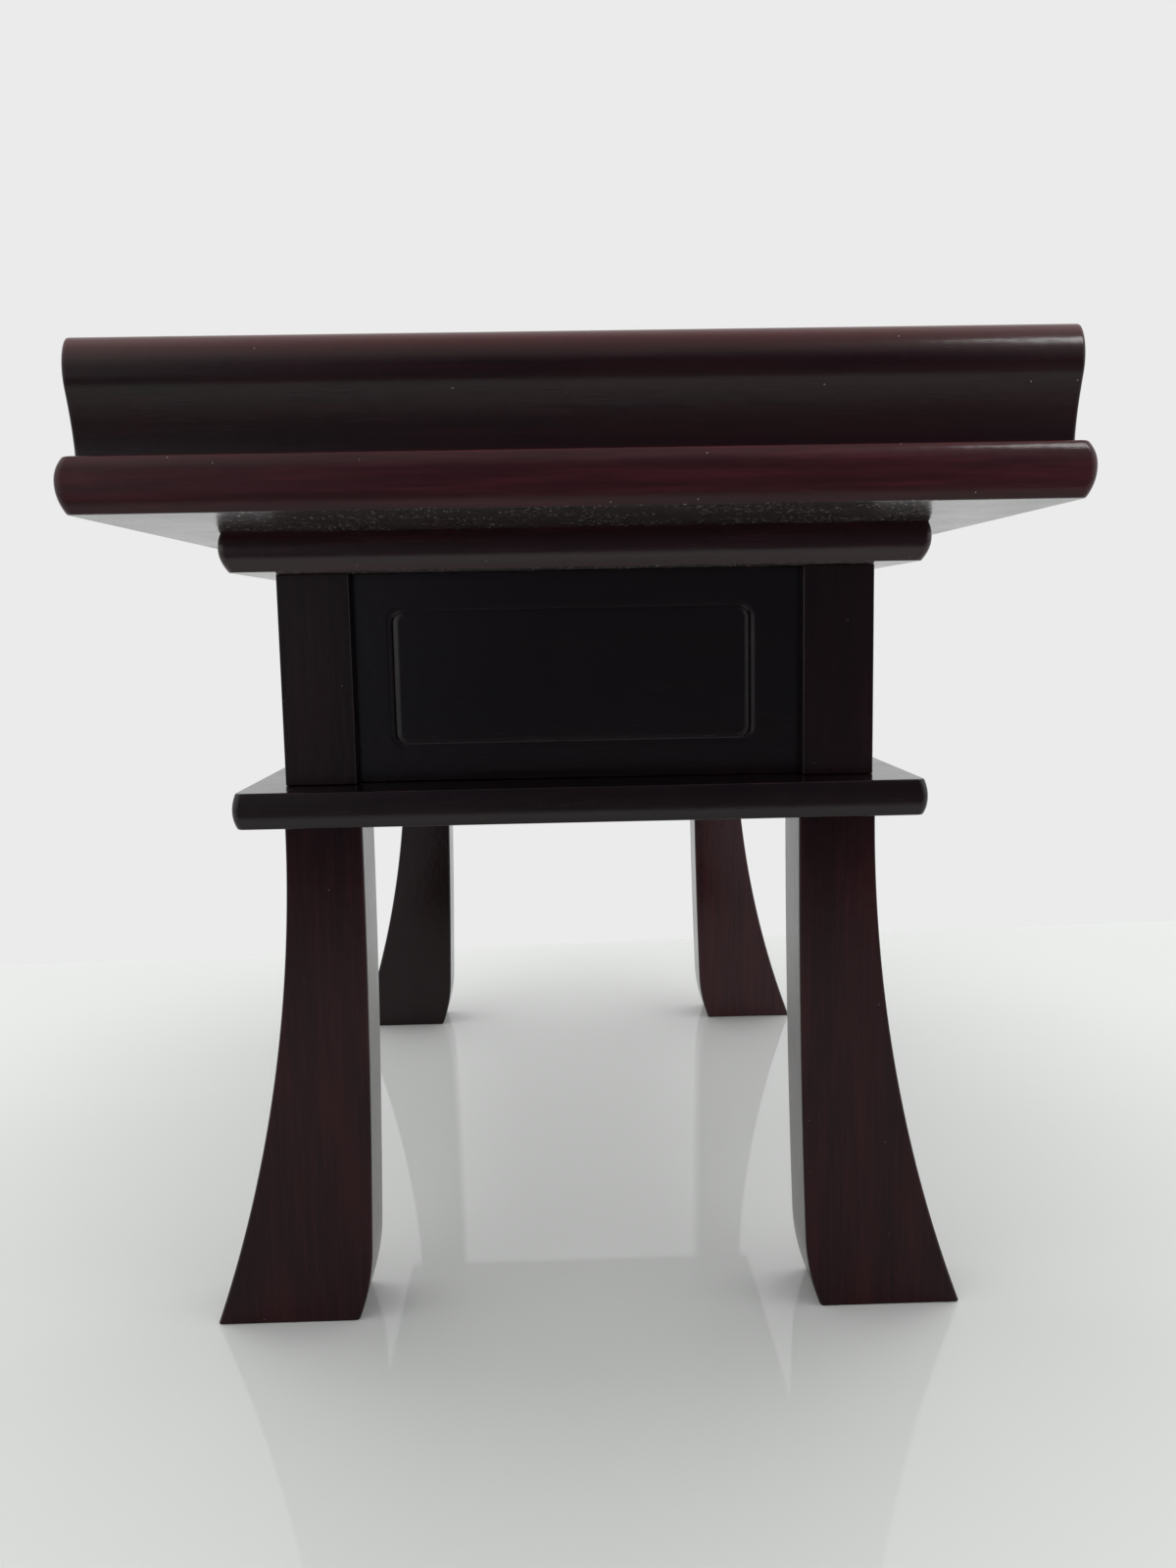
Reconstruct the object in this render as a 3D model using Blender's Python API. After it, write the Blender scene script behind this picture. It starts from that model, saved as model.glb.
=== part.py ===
"""Low offering desk: a board top with raised end lips, a case with drawers, and splayed legs.

Metres, +Z up. X runs along the desk, the drawers face -Y and +X is the right-hand end.
The origin lies on the floor under the middle of the top.
"""

import math
from collections import namedtuple

import bmesh
import bpy
from mathutils import Vector

Nose = namedtuple("Nose", "under over rise")
Finish = namedtuple("Finish", "colour roughness metallic")
Spot = namedtuple("Spot", "name x y")

# Top board
TOP_LENGTH = 0.545
TOP_DEPTH = 0.273
TOP_THICKNESS = 0.015
TOP_NOSE = Nose(under=0.0024, over=0.0021, rise=0.0008)

# Case, measured over the outer faces of its corner posts
CASE_LENGTH = 0.366
CASE_DEPTH = 0.1988
CASE_HEIGHT = 0.070
POST_LENGTH = 0.028
POST_DEPTH = 0.0238
POST_ROUND = 0.0008

# Boards above and below the case
BOARD_THICKNESS = 0.012
BOARD_END_OVERHANG = 0.018
BOARD_SIDE_OVERHANG = 0.0144
UPPER_NOSE = Nose(under=0.0026, over=0.0010, rise=0.0014)
LOWER_NOSE = Nose(under=0.0013, over=0.0013, rise=0.0)
BOARD_CORNER = 0.0025
BOARD_ROUND = 0.0006

# Legs, centred under the posts and a little deeper than them
LEG_HEIGHT = 0.180
LEG_DEPTH = 0.0262
LEG_SPLAY = 0.0321
LEG_INNER_SPLAY = 0.0036
TOE_HEIGHT = 0.026
TOE_CUT = 0.0045
LEG_ROUND = 0.0014

# Raised lip along each end of the top
LIP_HEIGHT = 0.031
LIP_BASE_WIDTH = 0.026
LIP_CROWN_WIDTH = 0.015
LIP_END_INSET = 0.0085
LIP_SIDE_INSET = 0.0034
LIP_ROLL_HEIGHT = 0.0145
LIP_ROLL_REACH = 0.0051
LIP_BELLY_RISE = 0.0050
LIP_CROWN_ROUND = 0.0073
LIP_INNER_ROUND = 0.0040
LIP_COVE_POWER = 1.67
LIP_CORNER = 0.0010
LIP_SWEEP_POWER = 2.2

# Panels let into the posts, and the line routed round their fields
PANEL_THICKNESS = 0.009
PANEL_RECESS = 0.006
PANEL_TONGUE = 0.004
PANEL_ROUND = 0.0004
FIELD_SIDE_MARGIN = 0.0148
FIELD_RAIL_MARGIN = 0.0123
FIELD_CORNER = 0.0050
ROUTE_WIDTH = 0.0022
ROUTE_DEPTH = 0.0012
ROUTE_FLOOR = 0.0008

# Inside of the case
DIVIDER_THICKNESS = 0.016
DIVIDER_RECESS = 0.003
HOUSING_DEPTH = 0.003
GUIDE_HEIGHT = 0.018
STOP_LENGTH = 0.030
STOP_THICKNESS = 0.012
STOP_HEIGHT = 0.020

# Drawers
DRAWER_SIDE_GAP = 0.0005
DRAWER_TOP_GAP = 0.0010
FRONT_THICKNESS = 0.012
SIDE_THICKNESS = 0.008
SIDE_HEIGHT = 0.054
TONGUE_THICKNESS = 0.004
TONGUE_DEPTH = 0.005
BACK_THICKNESS = 0.008
BACK_REBATE = 0.003
BOTTOM_THICKNESS = 0.004
BOTTOM_RAISE = 0.004
BOTTOM_LET_IN = 0.004

# Turned knobs and their screws
KNOB_REACH = 0.016
KNOB_RADIUS = 0.0085
KNOB_FOOT_RADIUS = 0.0060
KNOB_FOOT_HEIGHT = 0.0015
KNOB_NECK_RADIUS = 0.0045
KNOB_NECK_HEIGHT = 0.006
KNOB_SCREW_RADIUS = 0.0018
KNOB_SCREW_BITE = 0.009
KNOB_SCREW_HEAD_RADIUS = 0.0035
KNOB_SCREW_HEAD = 0.0020

# Dowels and the screws that hold the top
DOWEL_RADIUS = 0.005
DOWEL_BITE = 0.020
DOWEL_SKIN = 0.003
DOWEL_CHAMFER = 0.001
LIP_DOWEL_RADIUS = 0.0035
LIP_DOWEL_INSET = 0.0070
LIP_DOWEL_END = 0.040
LIP_DOWEL_RISE = 0.012
TOP_SCREW_SPREAD_X = 0.200
TOP_SCREW_SPREAD_Y = 0.110
TOP_SCREW_RADIUS = 0.002
TOP_SCREW_BITE = 0.009
TOP_SCREW_HEAD_RADIUS = 0.004
TOP_SCREW_HEAD = 0.0025
TOP_SCREW_POINT = 0.004
SCREW_TIP_RADIUS = 0.0004

# Gap at a glued or running seat, how far a cutter passes a face, and facet counts
SEAT = 0.0003
OVERCUT = 0.001
NOSE_STEPS = 8
CORNER_STEPS = 3
LEG_STEPS = 14
TOE_STEPS = 6
COVE_STEPS = 5
ROLL_STEPS = 10
ROUND_SIDES = 20
DOWEL_SIDES = 12
SHARP_ANGLE = math.radians(35)

LACQUER = Finish((0.030, 0.0075, 0.0070), 0.26, 0.0)
DRAWER_WOOD = Finish((0.520, 0.360, 0.210), 0.55, 0.0)
CASE_WOOD = Finish((0.330, 0.200, 0.110), 0.60, 0.0)
DOWEL_WOOD = Finish((0.600, 0.430, 0.260), 0.60, 0.0)
STEEL = Finish((0.560, 0.560, 0.550), 0.32, 1.0)

# Levels up the stack, with a seat between each piece and the next
LOWER_BOTTOM = LEG_HEIGHT + SEAT
CASE_FLOOR = LOWER_BOTTOM + BOARD_THICKNESS
POST_BOTTOM = CASE_FLOOR + SEAT
POST_TOP = POST_BOTTOM + CASE_HEIGHT
UPPER_BOTTOM = POST_TOP + SEAT
TOP_BOTTOM = UPPER_BOTTOM + BOARD_THICKNESS + SEAT
TOP_FACE = TOP_BOTTOM + TOP_THICKNESS
LIP_BOTTOM = TOP_FACE + SEAT

# Places in plan that more than one piece follows
BOARD_LENGTH = CASE_LENGTH + 2 * BOARD_END_OVERHANG
BOARD_DEPTH = CASE_DEPTH + 2 * BOARD_SIDE_OVERHANG
POST_X = (CASE_LENGTH - POST_LENGTH) / 2
POST_Y = (CASE_DEPTH - POST_DEPTH) / 2
BAY_END = CASE_LENGTH / 2 - POST_LENGTH
PANEL_HEIGHT = UPPER_BOTTOM - CASE_FLOOR - 2 * SEAT
BACK_INNER = CASE_DEPTH / 2 - PANEL_RECESS - PANEL_THICKNESS
DRAWER_FACE = CASE_DEPTH / 2 - PANEL_RECESS
DRAWER_WIDTH = BAY_END - DIVIDER_THICKNESS / 2 - 2 * DRAWER_SIDE_GAP
DRAWER_LENGTH = DRAWER_FACE + BACK_INNER - STOP_THICKNESS - 2 * SEAT
DRAWER_X = (BAY_END + DIVIDER_THICKNESS / 2) / 2
LIP_DOWEL_Y = TOP_DEPTH / 2 - LIP_SIDE_INSET - LIP_DOWEL_END
CORNERS = (
    Spot("front_right", 1, -1),
    Spot("front_left", -1, -1),
    Spot("back_right", 1, 1),
    Spot("back_left", -1, 1),
)
ENDS = (("right", 1), ("left", -1))
FACING = {"front": 0, "right": 90, "back": 180, "left": 270}


def clear_scene():
    """Removes every object that the file opened with."""
    for old in list(bpy.data.objects):
        bpy.data.objects.remove(old, do_unlink=True)


def add_object(name, shape, place, turn=None, parent=None):
    """Puts a closed bmesh into the scene as a named object."""
    bmesh.ops.recalc_face_normals(shape, faces=shape.faces)
    mesh = bpy.data.meshes.new(name)
    shape.to_mesh(mesh)
    shape.free()
    mesh.shade_smooth()
    mesh.set_sharp_from_angle(angle=SHARP_ANGLE)
    made = bpy.data.objects.new(name, mesh)
    bpy.context.scene.collection.objects.link(made)
    made.parent = parent
    made.location = place
    if turn is not None:
        made.rotation_euler = turn
    return made


def add_part(name, shape, finish, place=(0, 0, 0), turn=None, parent=None, edge=0.0):
    """Adds one piece of the desk in its own finish, with its edges rounded if asked."""
    part = add_object(name, shape, place, turn, parent)
    material = bpy.data.materials.new(name)
    material.use_nodes = True
    shader = material.node_tree.nodes["Principled BSDF"]
    shader.inputs["Base Color"].default_value = (*finish.colour, 1.0)
    shader.inputs["Roughness"].default_value = finish.roughness
    shader.inputs["Metallic"].default_value = finish.metallic
    part.data.materials.append(material)
    if edge:
        rounding = part.modifiers.new("round_edges", "BEVEL")
        rounding.width = edge
        rounding.segments = 2
        rounding.limit_method = "ANGLE"
        rounding.angle_limit = SHARP_ANGLE
    return part


def cut(part, shape):
    """Takes a shape, given in the part's own frame, out of the part."""
    count = len(part.modifiers)
    cutter = add_object(f"{part.name}_cut_{count}", shape, part.location, part.rotation_euler, part.parent)
    cutter.hide_render = True
    cutter.display_type = "WIRE"
    taking = part.modifiers.new(f"cut_{count}", "BOOLEAN")
    taking.operation = "DIFFERENCE"
    taking.object = cutter


def loft(rings, closed=False):
    """Skins rings of equal length, and either caps the ends or joins the last ring to the first."""
    shape = bmesh.new()
    loops = [[shape.verts.new(point) for point in ring] for ring in rings]
    pairs = list(zip(loops, loops[1:]))
    if closed:
        pairs.append((loops[-1], loops[0]))
    else:
        shape.faces.new(loops[0])
        shape.faces.new(loops[-1])
    for below, above in pairs:
        for i in range(len(below)):
            j = (i + 1) % len(below)
            shape.faces.new((below[i], below[j], above[j], above[i]))
    return shape


def box(low, high):
    """A block between two corners."""
    low = Vector(low)
    high = Vector(high)
    rings = []
    for z in (low.z, high.z):
        rings.append(((low.x, low.y, z), (high.x, low.y, z), (high.x, high.y, z), (low.x, high.y, z)))
    return loft(rings)


def turned(profile, sides):
    """A piece turned about Z from (radius, height) pairs."""
    rings = []
    for radius, height in profile:
        ring = []
        for side in range(sides):
            angle = 2 * math.pi * side / sides
            ring.append((radius * math.cos(angle), radius * math.sin(angle), height))
        rings.append(ring)
    return loft(rings)


def moved(shape, offset):
    """The same shape, shifted."""
    bmesh.ops.translate(shape, verts=shape.verts, vec=offset)
    return shape


def rounded_rectangle(low, high, corner, z):
    """A level outline with round corners between two (x, y) corners."""
    centres = (
        (high[0] - corner, high[1] - corner),
        (low[0] + corner, high[1] - corner),
        (low[0] + corner, low[1] + corner),
        (high[0] - corner, low[1] + corner),
    )
    points = []
    for quarter, (x, y) in enumerate(centres):
        for step in range(CORNER_STEPS + 1):
            angle = math.pi / 2 * (quarter + step / CORNER_STEPS)
            points.append((x + corner * math.cos(angle), y + corner * math.sin(angle), z))
    return points


def nose_inset(height, thickness, nose):
    """How far a board's edge stands back from its widest line, at a height over its underside."""
    widest = thickness / 2 + nose.rise
    if height < widest:
        return nose.under * (1 - height / widest) ** 2
    return nose.over * ((height - widest) / (thickness - widest)) ** 2


def nosed_board(length, depth, thickness, nose):
    """A board with a shallow rounded nose on all four edges, its underside at z = 0."""
    rings = []
    for step in range(NOSE_STEPS + 1):
        height = thickness * step / NOSE_STEPS
        inset = nose_inset(height, thickness, nose)
        half_x = length / 2 - inset
        half_y = depth / 2 - inset
        rings.append(rounded_rectangle((-half_x, -half_y), (half_x, half_y), BOARD_CORNER, height))
    return loft(rings)


def arc_drop(sag, run, distance):
    """How far an arc has left its tangent, if it leaves by sag over the whole run."""
    radius = (run * run + sag * sag) / (2 * sag)
    return radius - math.sqrt(radius * radius - distance * distance)


def leg_outline():
    """The leg's side view as (outward, up) points about the post's centre line."""
    half = LEG_DEPTH / 2
    outer = []
    for step in range(LEG_STEPS + 1):
        z = LEG_HEIGHT * (1 - step / LEG_STEPS)
        outer.append((half + arc_drop(LEG_SPLAY, LEG_HEIGHT, LEG_HEIGHT - z), z))
    heights = [TOE_HEIGHT * step / TOE_STEPS for step in range(TOE_STEPS)]
    shank = LEG_HEIGHT - TOE_HEIGHT
    heights += [TOE_HEIGHT + shank * step / LEG_STEPS for step in range(LEG_STEPS + 1)]
    inner = []
    for z in heights:
        toe = TOE_CUT * max(0.0, 1 - z / TOE_HEIGHT) ** 2
        inner.append((toe - half + arc_drop(LEG_INNER_SPLAY, LEG_HEIGHT, LEG_HEIGHT - z), z))
    return outer + inner


def lip_levels():
    """Heights up a lip: even steps up its cove, then finer ones round its roll to the crown."""
    crease = LIP_HEIGHT - LIP_ROLL_HEIGHT
    levels = [crease * step / COVE_STEPS for step in range(COVE_STEPS)]
    for step in range(ROLL_STEPS + 1):
        levels.append(crease + LIP_ROLL_HEIGHT * math.sin(math.pi / 2 * step / ROLL_STEPS))
    return levels


def lip_swell(height):
    """How far the lip's outer face stands out past its base: a cove, then an elliptic roll."""
    crease = LIP_HEIGHT - LIP_ROLL_HEIGHT
    belly = crease + LIP_BELLY_RISE
    span = LIP_HEIGHT - belly
    shoulder = 1 - math.sqrt(1 - ((crease - belly) / span) ** 2)
    crease_reach = LIP_ROLL_REACH - LIP_CROWN_ROUND * shoulder
    if height < crease:
        return crease_reach * (height / crease) ** LIP_COVE_POWER
    share = min(1.0, abs(height - belly) / span)
    return LIP_ROLL_REACH - LIP_CROWN_ROUND * (1 - math.sqrt(1 - share * share))


def lip_width(height):
    """The lip's width from the plane of its base to its inner face, which sweeps in to the crown."""
    sweep_top = LIP_HEIGHT - LIP_INNER_ROUND
    crown = LIP_CROWN_WIDTH - LIP_ROLL_REACH
    if height < sweep_top:
        return crown + (LIP_BASE_WIDTH - crown) * (1 - height / sweep_top) ** LIP_SWEEP_POWER
    share = (height - sweep_top) / LIP_INNER_ROUND
    return crown - LIP_INNER_ROUND * (1 - math.sqrt(max(0.0, 1 - share * share)))


def lip_shape():
    """A right-hand lip about x = 0 at the outer face of its base: one moulding, cut square at its ends."""
    half_y = TOP_DEPTH / 2 - LIP_SIDE_INSET
    rings = []
    for height in lip_levels():
        low = (-lip_width(height), -half_y)
        high = (lip_swell(height), half_y)
        rings.append(rounded_rectangle(low, high, LIP_CORNER, height))
    return loft(rings)


def mirrored_x(shape):
    """The same shape for the other end of the desk."""
    for vert in shape.verts:
        vert.co.x = -vert.co.x
    return shape


def dowel(radius, low, high):
    """A dowel with chamfered ends, from one height to another."""
    profile = (
        (radius - DOWEL_CHAMFER, low),
        (radius, low + DOWEL_CHAMFER),
        (radius, high - DOWEL_CHAMFER),
        (radius - DOWEL_CHAMFER, high),
    )
    return turned(profile, DOWEL_SIDES)


def bore(radius, low, high):
    """The cutter for a round hole that takes a piece of this radius with a seat all round."""
    return turned(((radius + SEAT, low), (radius + SEAT, high)), DOWEL_SIDES)


def facing(side):
    """Turns a flat panel, drawn in X and Y with its face at z = 0, to look out of a side of the case."""
    return (math.pi / 2, 0, math.radians(FACING[side]))


def routed_line(width, height):
    """The cutter for the line routed round a panel's field, margins inside its visible face."""
    half_x = width / 2 - FIELD_SIDE_MARGIN
    half_y = height / 2 - FIELD_RAIL_MARGIN
    section = (
        (0.0, OVERCUT),
        (0.0, 0.0),
        (-(ROUTE_WIDTH - ROUTE_FLOOR) / 2, -ROUTE_DEPTH),
        (-(ROUTE_WIDTH + ROUTE_FLOOR) / 2, -ROUTE_DEPTH),
        (-ROUTE_WIDTH, 0.0),
        (-ROUTE_WIDTH, OVERCUT),
    )
    rings = []
    for out, z in section:
        low = (-half_x - out, -half_y - out)
        high = (half_x + out, half_y + out)
        rings.append(rounded_rectangle(low, high, FIELD_CORNER + out, z))
    return loft(rings, closed=True)


def dowel_hole_rows():
    """Plan places of the corner dowels."""
    return [(corner.x * POST_X, corner.y * POST_Y) for corner in CORNERS]


def top_screw_places():
    """Plan places of the screws that hold the top, two in each drawer bay."""
    half_x = TOP_SCREW_SPREAD_X / 2
    half_y = TOP_SCREW_SPREAD_Y / 2
    return [Spot(corner.name, corner.x * half_x, corner.y * half_y) for corner in CORNERS]


def lip_dowel_places():
    """Plan places of the dowels under the lips, two to a lip."""
    x = TOP_LENGTH / 2 - LIP_END_INSET - LIP_DOWEL_INSET
    return [Spot(corner.name, corner.x * x, corner.y * LIP_DOWEL_Y) for corner in CORNERS]


def build_top():
    """The top board, with holes for the lip dowels and pilot holes for its screws."""
    shape = nosed_board(TOP_LENGTH, TOP_DEPTH, TOP_THICKNESS, TOP_NOSE)
    top = add_part("top_board", shape, LACQUER, (0, 0, TOP_BOTTOM), edge=BOARD_ROUND)
    for spot in lip_dowel_places():
        hole = bore(LIP_DOWEL_RADIUS, DOWEL_SKIN, TOP_THICKNESS + OVERCUT)
        cut(top, moved(hole, (spot.x, spot.y, 0)))
    for spot in top_screw_places():
        pilot = bore(TOP_SCREW_RADIUS, -OVERCUT, TOP_SCREW_BITE + SEAT)
        cut(top, moved(pilot, (spot.x, spot.y, 0)))


def build_lips():
    """The two lips and the dowels that hold them to the top."""
    base = TOP_LENGTH / 2 - LIP_END_INSET
    for end, sign in ENDS:
        shape = lip_shape() if sign > 0 else mirrored_x(lip_shape())
        lip = add_part(f"end_lip_{end}", shape, LACQUER, (sign * base, 0, LIP_BOTTOM))
        for side in (-1, 1):
            hole = bore(LIP_DOWEL_RADIUS, -OVERCUT, LIP_DOWEL_RISE + SEAT)
            cut(lip, moved(hole, (-sign * LIP_DOWEL_INSET, side * LIP_DOWEL_Y, 0)))
    foot = TOP_BOTTOM + DOWEL_SKIN + SEAT
    for spot in lip_dowel_places():
        shape = dowel(LIP_DOWEL_RADIUS, foot, LIP_BOTTOM + LIP_DOWEL_RISE)
        add_part(f"lip_dowel_{spot.name}", shape, DOWEL_WOOD, (spot.x, spot.y, 0))


def divider_housing(low, high):
    """The cutter for the shallow trench that an edge of the divider sits in."""
    half = DIVIDER_THICKNESS / 2 + SEAT
    front = -CASE_DEPTH / 2 + DIVIDER_RECESS - SEAT
    return box((-half, front, low), (half, BACK_INNER, high))


def build_case_boards():
    """The boards above and below the case, bored for dowels and screws and trenched for the divider."""
    shape = nosed_board(BOARD_LENGTH, BOARD_DEPTH, BOARD_THICKNESS, LOWER_NOSE)
    lower = add_part("lower_case_board", shape, LACQUER, (0, 0, LOWER_BOTTOM), edge=BOARD_ROUND)
    shape = nosed_board(BOARD_LENGTH, BOARD_DEPTH, BOARD_THICKNESS, UPPER_NOSE)
    upper = add_part("upper_case_board", shape, LACQUER, (0, 0, UPPER_BOTTOM), edge=BOARD_ROUND)
    cut(lower, divider_housing(BOARD_THICKNESS - HOUSING_DEPTH, BOARD_THICKNESS + OVERCUT))
    cut(upper, divider_housing(-OVERCUT, HOUSING_DEPTH))
    for x, y in dowel_hole_rows():
        through = bore(DOWEL_RADIUS, -OVERCUT, BOARD_THICKNESS + OVERCUT)
        cut(lower, moved(through, (x, y, 0)))
        blind = bore(DOWEL_RADIUS, -OVERCUT, BOARD_THICKNESS - DOWEL_SKIN)
        cut(upper, moved(blind, (x, y, 0)))
    for spot in top_screw_places():
        countersink = (
            (TOP_SCREW_HEAD_RADIUS + SEAT, -OVERCUT),
            (TOP_SCREW_HEAD_RADIUS + SEAT, SEAT),
            (TOP_SCREW_RADIUS + SEAT, TOP_SCREW_HEAD + SEAT),
            (TOP_SCREW_RADIUS + SEAT, BOARD_THICKNESS + OVERCUT),
        )
        cut(upper, moved(turned(countersink, DOWEL_SIDES), (spot.x, spot.y, 0)))


def build_top_screws():
    """Countersunk screws up through the upper case board into the top."""
    length = TOP_BOTTOM + TOP_SCREW_BITE - UPPER_BOTTOM
    profile = (
        (TOP_SCREW_HEAD_RADIUS, 0.0),
        (TOP_SCREW_RADIUS, TOP_SCREW_HEAD),
        (TOP_SCREW_RADIUS, length - TOP_SCREW_POINT),
        (SCREW_TIP_RADIUS, length),
    )
    for spot in top_screw_places():
        shape = turned(profile, DOWEL_SIDES)
        add_part(f"top_screw_{spot.name}", shape, STEEL, (spot.x, spot.y, UPPER_BOTTOM))


def build_posts():
    """Corner posts, grooved for the panels and bored top and bottom, with their upper dowels."""
    half = Vector((POST_LENGTH / 2, POST_DEPTH / 2, 0))
    groove = PANEL_RECESS - SEAT
    groove_end = PANEL_RECESS + PANEL_THICKNESS + SEAT
    for corner in CORNERS:
        shape = box(-half, half + Vector((0, 0, CASE_HEIGHT)))
        place = (corner.x * POST_X, corner.y * POST_Y, POST_BOTTOM)
        post = add_part(f"corner_post_{corner.name}", shape, LACQUER, place, edge=POST_ROUND)
        inner_y = -corner.y * half.y
        xs = sorted((corner.x * (half.x - groove), corner.x * (half.x - groove_end)))
        ys = sorted((inner_y + corner.y * PANEL_TONGUE, inner_y - corner.y * OVERCUT))
        cut(post, box((xs[0], ys[0], -OVERCUT), (xs[1], ys[1], CASE_HEIGHT + OVERCUT)))
        if corner.y > 0:
            inner_x = -corner.x * half.x
            xs = sorted((inner_x + corner.x * PANEL_TONGUE, inner_x - corner.x * OVERCUT))
            back = (half.y - groove_end, half.y - groove)
            cut(post, box((xs[0], back[0], -OVERCUT), (xs[1], back[1], CASE_HEIGHT + OVERCUT)))
        cut(post, bore(DOWEL_RADIUS, -OVERCUT, DOWEL_BITE + SEAT))
        cut(post, bore(DOWEL_RADIUS, CASE_HEIGHT - DOWEL_BITE - SEAT, CASE_HEIGHT + OVERCUT))
        head = UPPER_BOTTOM + BOARD_THICKNESS - DOWEL_SKIN - SEAT
        shape = dowel(DOWEL_RADIUS, POST_TOP - DOWEL_BITE, head)
        add_part(f"post_dowel_{corner.name}", shape, DOWEL_WOOD, (place[0], place[1], 0))


def build_legs():
    """Splayed legs, each held by a dowel that runs through the lower board into the post above."""
    for corner in CORNERS:
        rings = []
        for x in (-POST_LENGTH / 2, POST_LENGTH / 2):
            rings.append([(x, corner.y * out, z) for out, z in leg_outline()])
        place = (corner.x * POST_X, corner.y * POST_Y, 0)
        leg = add_part(f"leg_{corner.name}", loft(rings), LACQUER, place, edge=LEG_ROUND)
        cut(leg, bore(DOWEL_RADIUS, LEG_HEIGHT - DOWEL_BITE - SEAT, LEG_HEIGHT + OVERCUT))
        shape = dowel(DOWEL_RADIUS, LEG_HEIGHT - DOWEL_BITE, POST_BOTTOM + DOWEL_BITE)
        add_part(f"leg_dowel_{corner.name}", shape, DOWEL_WOOD, place)


def build_panel(name, side, width, place):
    """A panel let into the posts at both sides, with a line routed round its field."""
    half_x = width / 2 + PANEL_TONGUE - SEAT
    half_y = PANEL_HEIGHT / 2
    shape = box((-half_x, -half_y, -PANEL_THICKNESS), (half_x, half_y, 0))
    panel = add_part(name, shape, LACQUER, place, turn=facing(side), edge=PANEL_ROUND)
    cut(panel, routed_line(width, PANEL_HEIGHT))


def build_panels():
    """End panels and the back panel."""
    middle = CASE_FLOOR + SEAT + PANEL_HEIGHT / 2
    for end, sign in ENDS:
        place = (sign * (CASE_LENGTH / 2 - PANEL_RECESS), 0, middle)
        build_panel(f"end_panel_{end}", end, CASE_DEPTH - 2 * POST_DEPTH, place)
    build_panel("back_panel", "back", 2 * BAY_END, (0, CASE_DEPTH / 2 - PANEL_RECESS, middle))


def build_case_inside():
    """The divider between the drawers, the guides beside them and the stops behind them."""
    half = DIVIDER_THICKNESS / 2
    front = -CASE_DEPTH / 2 + DIVIDER_RECESS
    low = (-half, front, CASE_FLOOR - HOUSING_DEPTH + SEAT)
    high = (half, BACK_INNER - SEAT, UPPER_BOTTOM + HOUSING_DEPTH - SEAT)
    add_part("drawer_divider", box(low, high), LACQUER, edge=PANEL_ROUND)
    seat = CASE_FLOOR + SEAT
    guide_outer = CASE_LENGTH / 2 - PANEL_RECESS - PANEL_THICKNESS - SEAT
    guide_y = CASE_DEPTH / 2 - POST_DEPTH - SEAT
    for end, sign in ENDS:
        xs = sorted((sign * BAY_END, sign * guide_outer))
        shape = box((xs[0], -guide_y, seat), (xs[1], guide_y, seat + GUIDE_HEIGHT))
        add_part(f"drawer_guide_{end}", shape, CASE_WOOD)
        stop_y = (BACK_INNER - SEAT - STOP_THICKNESS, BACK_INNER - SEAT)
        low = (-STOP_LENGTH / 2, stop_y[0], 0)
        high = (STOP_LENGTH / 2, stop_y[1], STOP_HEIGHT)
        add_part(f"drawer_stop_{end}", box(low, high), CASE_WOOD, (sign * DRAWER_X, 0, seat))


def build_drawer_front(end, slide):
    """The drawer's front, routed like the panels and grooved for the sides and the bottom."""
    half = DRAWER_WIDTH / 2
    height = UPPER_BOTTOM - CASE_FLOOR - DRAWER_TOP_GAP - SEAT
    turn = facing("front")
    place = (0, 0, SEAT + height / 2)
    shape = box((-half, -height / 2, -FRONT_THICKNESS), (half, height / 2, 0))
    front = add_part(f"drawer_front_{end}", shape, LACQUER, place, turn, slide, edge=PANEL_ROUND)
    cut(front, routed_line(DRAWER_WIDTH, height))
    floor = -height / 2
    depth = -FRONT_THICKNESS - OVERCUT
    groove = floor + BOTTOM_RAISE
    wide = half - SIDE_THICKNESS + BOTTOM_LET_IN
    low = (-wide, groove, depth)
    high = (wide, groove + BOTTOM_THICKNESS + 2 * SEAT, BOTTOM_LET_IN - FRONT_THICKNESS)
    cut(front, box(low, high))
    inner = half - SIDE_THICKNESS - SEAT
    outer = half - SIDE_THICKNESS + TONGUE_THICKNESS + SEAT
    for sign in (-1, 1):
        xs = sorted((sign * inner, sign * outer))
        low = (xs[0], floor - OVERCUT, depth)
        high = (xs[1], floor + SIDE_HEIGHT + SEAT, TONGUE_DEPTH - FRONT_THICKNESS)
        cut(front, box(low, high))
    cut(front, bore(KNOB_SCREW_RADIUS, depth, OVERCUT))
    return height


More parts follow.
